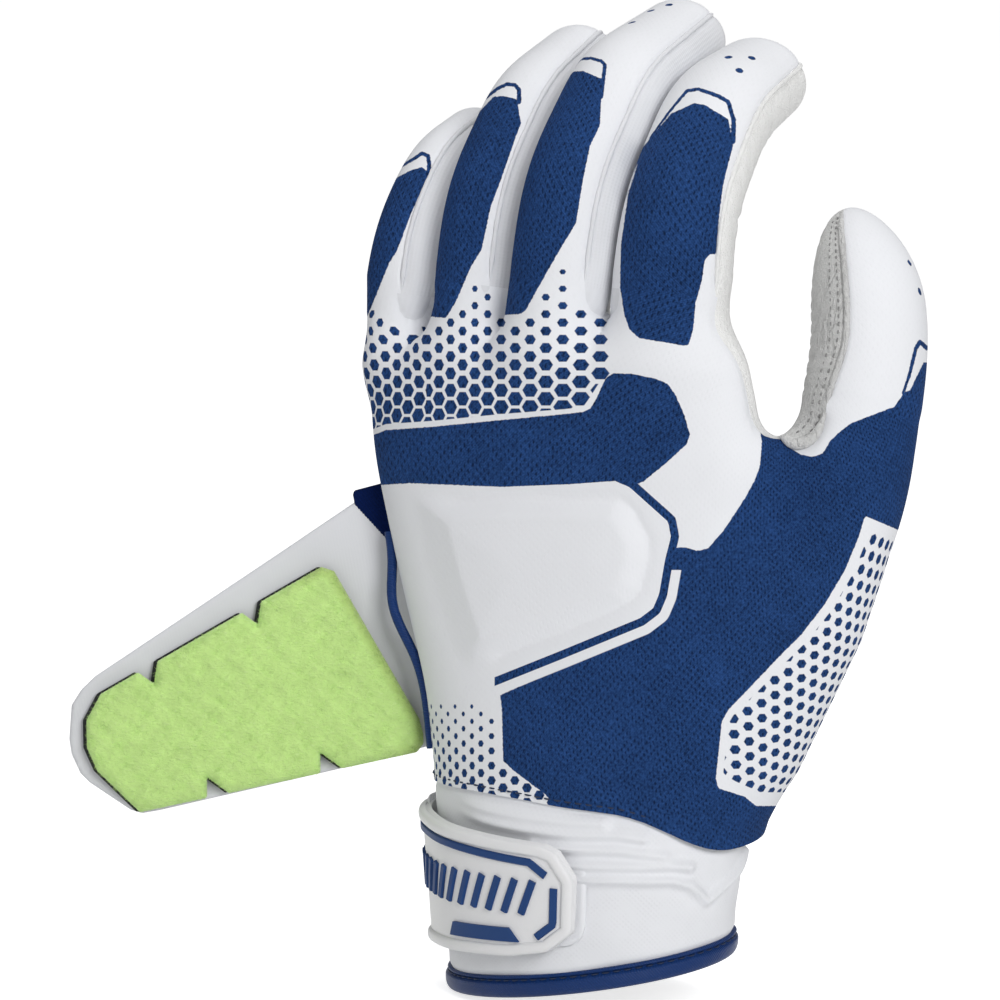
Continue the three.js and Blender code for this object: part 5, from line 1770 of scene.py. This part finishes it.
class GLOVE_OT_leaf(bpy.types.Operator):
    """Padded leaf: backing, corner piece, foam, felt pad with loose fibres, and hinge piping."""
    bl_idname = "glove.leaf"
    bl_label = "Padded leaf"

    def execute(self, context):
        back, leaf_top, foam_low, foam_top, felt_low = LEAF_LAYERS
        felt_line = np.array([*notched(*FELT_TOP, (0.2, 1), FELT_CUTS[0]), *FELT_END,
                              *notched(*FELT_LOW, (0, -1), FELT_CUTS[1]), *FELT_HINGE])
        wave = lambda u, v: (0.16 * np.sin(u * 0.9 + 2 * np.sin(v * 0.31)) * np.sin(v * 0.8 + u * 0.2)
                             + 0.1 * np.sin(u * 2.3) * np.sin(v * 2.1 + 1))
        pieces = [
            ("leaf_backing", LEAF, back, lambda d, *_: leaf_top * (0.4 + 0.6 * rounded(d, 0.8)), 0.8,
             "leaf_cloth", "white_knit", "flap_leaf"),
            ("leaf_corner_tape", LEAF_CORNER, back - 0.3,
             lambda d, *_: 0.3 + leaf_top * (0.6 + 0.7 * rounded(d, 0.6)), 0.4,
             "corner_tape", "blue_binding", "flap_corner"),
            ("leaf_foam", felt_line + FOAM_SHIFT, foam_low,
             lambda d, *_: foam_top - foam_low - 0.2 + 0 * d, 0.5,
             "foam", "black_foam", "flap_foam"),
            ("leaf_felt_pad", felt_line, felt_low,
             lambda d, u, v: 0.8 + (FELT_RISE + wave(u, v)) * rounded(d, FELT_ROUND), 0.45,
             "felt", "lime_felt", "flap_pad"),
        ]
        for name, line, base, profile, step, look, slot, node in pieces:
            points, faces, marks = plate(np.array(line, float), base, profile, step)
            piece = write(name, points, faces, finish(look), slot, marks)
            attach(piece, "flap")
            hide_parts(node)
        self.fibres(felt_line, felt_low)
        self.piping()
        return {"FINISHED"}

    @staticmethod
    def fibres(line, base):
        """Short fibres standing from the felt, thickest along its edge: thin three-sided spikes."""
        count = bpy.context.scene.glove_sizes.felt_fibres
        rng = np.random.default_rng(7)
        low, high = line.min(0), line.max(0)
        spot = low + (high - low) * rng.random((6 * count, 2))
        depth = -inside(spot, line)
        keep = (depth > 0.05) & (rng.random(len(spot)) < 0.25 + bell(depth / 1.2))
        spot, depth = spot[keep][:count], depth[keep][:count]
        count = len(spot)
        root = on_leaf(*spot.T, base + 0.65 + FELT_RISE * rounded(depth, FELT_ROUND))
        lean = rng.normal(size=(count, 2)) * 0.8
        reach = 0.5 + 0.6 * rng.random(count)
        rise = (0.25 + 0.4 * rng.random(count))[:, None]
        way = unit(lean[:, :1] * LEAF_OUT + lean[:, 1:] * LEAF_DOWN + rise * LEAF_FACE)
        aside = unit(np.cross(way, rng.normal(size=(count, 3))))
        third = np.cross(way, aside)
        foot = [root + FIBRE_RADIUS * (c * aside + s * third) for c, s in circle(3)]
        points = np.stack([*foot, root + reach[:, None] * way], 1).reshape(-1, 3)
        shift = 4 * np.arange(count)[:, None, None]
        faces = (np.array([(0, 1, 3), (1, 2, 3), (2, 0, 3), (0, 2, 1)])[None] + shift).reshape(-1, 3)
        fabric = np.repeat(np.column_stack([spot, depth]), 4, axis=0)
        piece = write("leaf_felt_fibres", points, faces, finish("felt"), "lime_felt", {"fabric": fabric})
        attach(piece, "flap")

    @staticmethod
    def piping():
        """Piping bead down the little finger edge of the hand, standing out most half way."""
        z = np.linspace(46, 94, 90)
        cx, cy, a, b = section(z)
        power = 2 / (2 + 0.35 * smooth((z - 30) / 40))[:, None]
        lean = np.linspace(0, np.pi / 2, 120)
        x = cx[:, None] - a[:, None] * np.cos(lean) ** power
        y = cy[:, None] - b[:, None] * np.sin(lean) ** power
        edge = (x * PLANE_RIGHT[0] + y * PLANE_RIGHT[1]).argmin(1)
        swell = (0.2 + 2.9 * bell((z - 77) / 9))[:, None]
        rows = np.arange(len(z))
        path = np.stack([x[rows, edge], y[rows, edge], z], 1)
        path = evened(path, np.ones(9) / 9) - swell * PLANE_RIGHT
        points, faces = sweep(path, np.tile(-PLANE_RIGHT, (len(z), 1)), circle(14) * (1.25, 1.1))
        fabric = np.stack([points[:, 2], points[:, 1], 0 * points[:, 0]], 1)
        piece = write("edge_piping", points, faces, finish("hem_tape"), "blue_binding", {"fabric": fabric})
        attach(piece, "hand")
        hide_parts("flap_piping")


# ---------------------------------------------------------------- stage

# Lights: name, place in metres, watts, width in metres; all aim at one point of the glove.
LAMPS = [
    ("key", (1.1, -0.85, 0.7), 11.4, 0.55),
    ("fill", (-0.9, -0.9, 0.45), 0.9, 0.8),
    ("top", (0.0, 0.1, 1.2), 3.6, 0.6),
]
LAMP_AIM = (0.0, 0.0, 0.1)
FLOOR_HALF = 14.0
FLOOR_GAP = 0.0006
SENSOR_WIDTH = 36.0


def lamp(name, place, watts, width):
    """Square soft light aimed at the glove."""
    data = bpy.data.lights.new(name, "AREA")
    data.energy, data.size = watts, width
    obj = bpy.data.objects.new(name, data)
    obj.location = place
    obj.rotation_euler = (Vector(LAMP_AIM) - Vector(place)).to_track_quat("-Z", "Y").to_euler()
    bpy.context.scene.collection.objects.link(obj)


class GLOVE_OT_stage(bpy.types.Operator):
    """Pale floor, soft lights, white surroundings and the camera."""
    bl_idname = "glove.stage"
    bl_label = "Stage"

    def execute(self, context):
        scene = context.scene
        scene.view_settings.view_transform = "Standard"
        half, low = FLOOR_HALF, CAD_BOX[0][2] - FLOOR_GAP
        mesh = bpy.data.meshes.new("floor")
        corners = ((-half, -half), (half, -half), (half, half), (-half, half))
        mesh.from_pydata([(x, y, low) for x, y in corners], [], [(0, 1, 2, 3)])
        f = Finish(bpy.data.materials.new("floor"))
        seen = f.ray("Camera").most(f.ray("Glossy")).most(f.ray("Transmission"))
        f.set(Emission_Strength=1.0, Base_Color=colour("floor"), Roughness=0.9,
              Specular_IOR_Level=0.0, Emission_Color=f.mix(seen, (0, 0, 0, 1), (0.72, 0.72, 0.72, 1)))
        mesh.materials.append(f.owner)
        floor = bpy.data.objects.new("floor", mesh)
        scene.collection.objects.link(floor)

        f = Finish(bpy.data.worlds.new("studio"))
        seen = f.ray("Camera").most(f.ray("Transmission"))
        strength = f.node("ShaderNodeMapRange", None, {0: seen, 3: 0.33})
        scene.world = f.set(Color=(1, 1, 1, 1), Strength=strength)
        for name, place, watts, width in LAMPS:
            lamp(name, place, watts, width)

        data = bpy.data.cameras.new("camera")
        data.sensor_width = SENSOR_WIDTH
        data.lens = SENSOR_WIDTH * VIEW_DISTANCE / VIEW_WIDTH
        data.clip_end = 20.0
        camera = bpy.data.objects.new("camera", data)
        place = PLANE_RIGHT * VIEW_CENTRE[0] + PLANE_UP * VIEW_CENTRE[1] + PLANE_OUT * VIEW_DISTANCE
        turn = np.eye(4)
        turn[:3, 0], turn[:3, 1], turn[:3, 2], turn[:3, 3] = PLANE_RIGHT, PLANE_UP, PLANE_OUT, place * MM
        camera.matrix_world = turn.T.tolist()
        scene.collection.objects.link(camera)
        scene.camera = camera
        return {"FINISHED"}


class GLOVE_PT_panel(bpy.types.Panel):
    """Shows the glove's sizes and colours, and a button for each step that builds its pieces."""
    bl_idname = "GLOVE_PT_panel"
    bl_label = "Batting glove"
    bl_space_type = "VIEW_3D"
    bl_region_type = "UI"
    bl_category = "Glove"

    def draw(self, context):
        for group in (context.scene.glove_sizes, context.scene.glove_colours):
            for key in group.__annotations__:
                self.layout.prop(group, key)
        for operator in OPERATORS:
            self.layout.operator(operator.bl_idname)


OPERATORS = (GLOVE_OT_stage, GLOVE_OT_hand, GLOVE_OT_fingers, GLOVE_OT_thumb, GLOVE_OT_cuff,
             GLOVE_OT_strap, GLOVE_OT_leaf)
CLASSES = (GloveSizes, GloveColours, *OPERATORS, GLOVE_PT_panel)


def register():
    for cls in CLASSES:
        bpy.utils.register_class(cls)
    bpy.types.Scene.glove_sizes = bpy.props.PointerProperty(type=GloveSizes)
    bpy.types.Scene.glove_colours = bpy.props.PointerProperty(type=GloveColours)


def unregister():
    del bpy.types.Scene.glove_sizes, bpy.types.Scene.glove_colours
    for cls in reversed(CLASSES):
        bpy.utils.unregister_class(cls)


def main():
    """Builds every piece in order."""
    register()
    for operator in OPERATORS:
        group, name = operator.bl_idname.split(".")
        getattr(getattr(bpy.ops, group), name)()


if __name__ == "__main__":
    main()
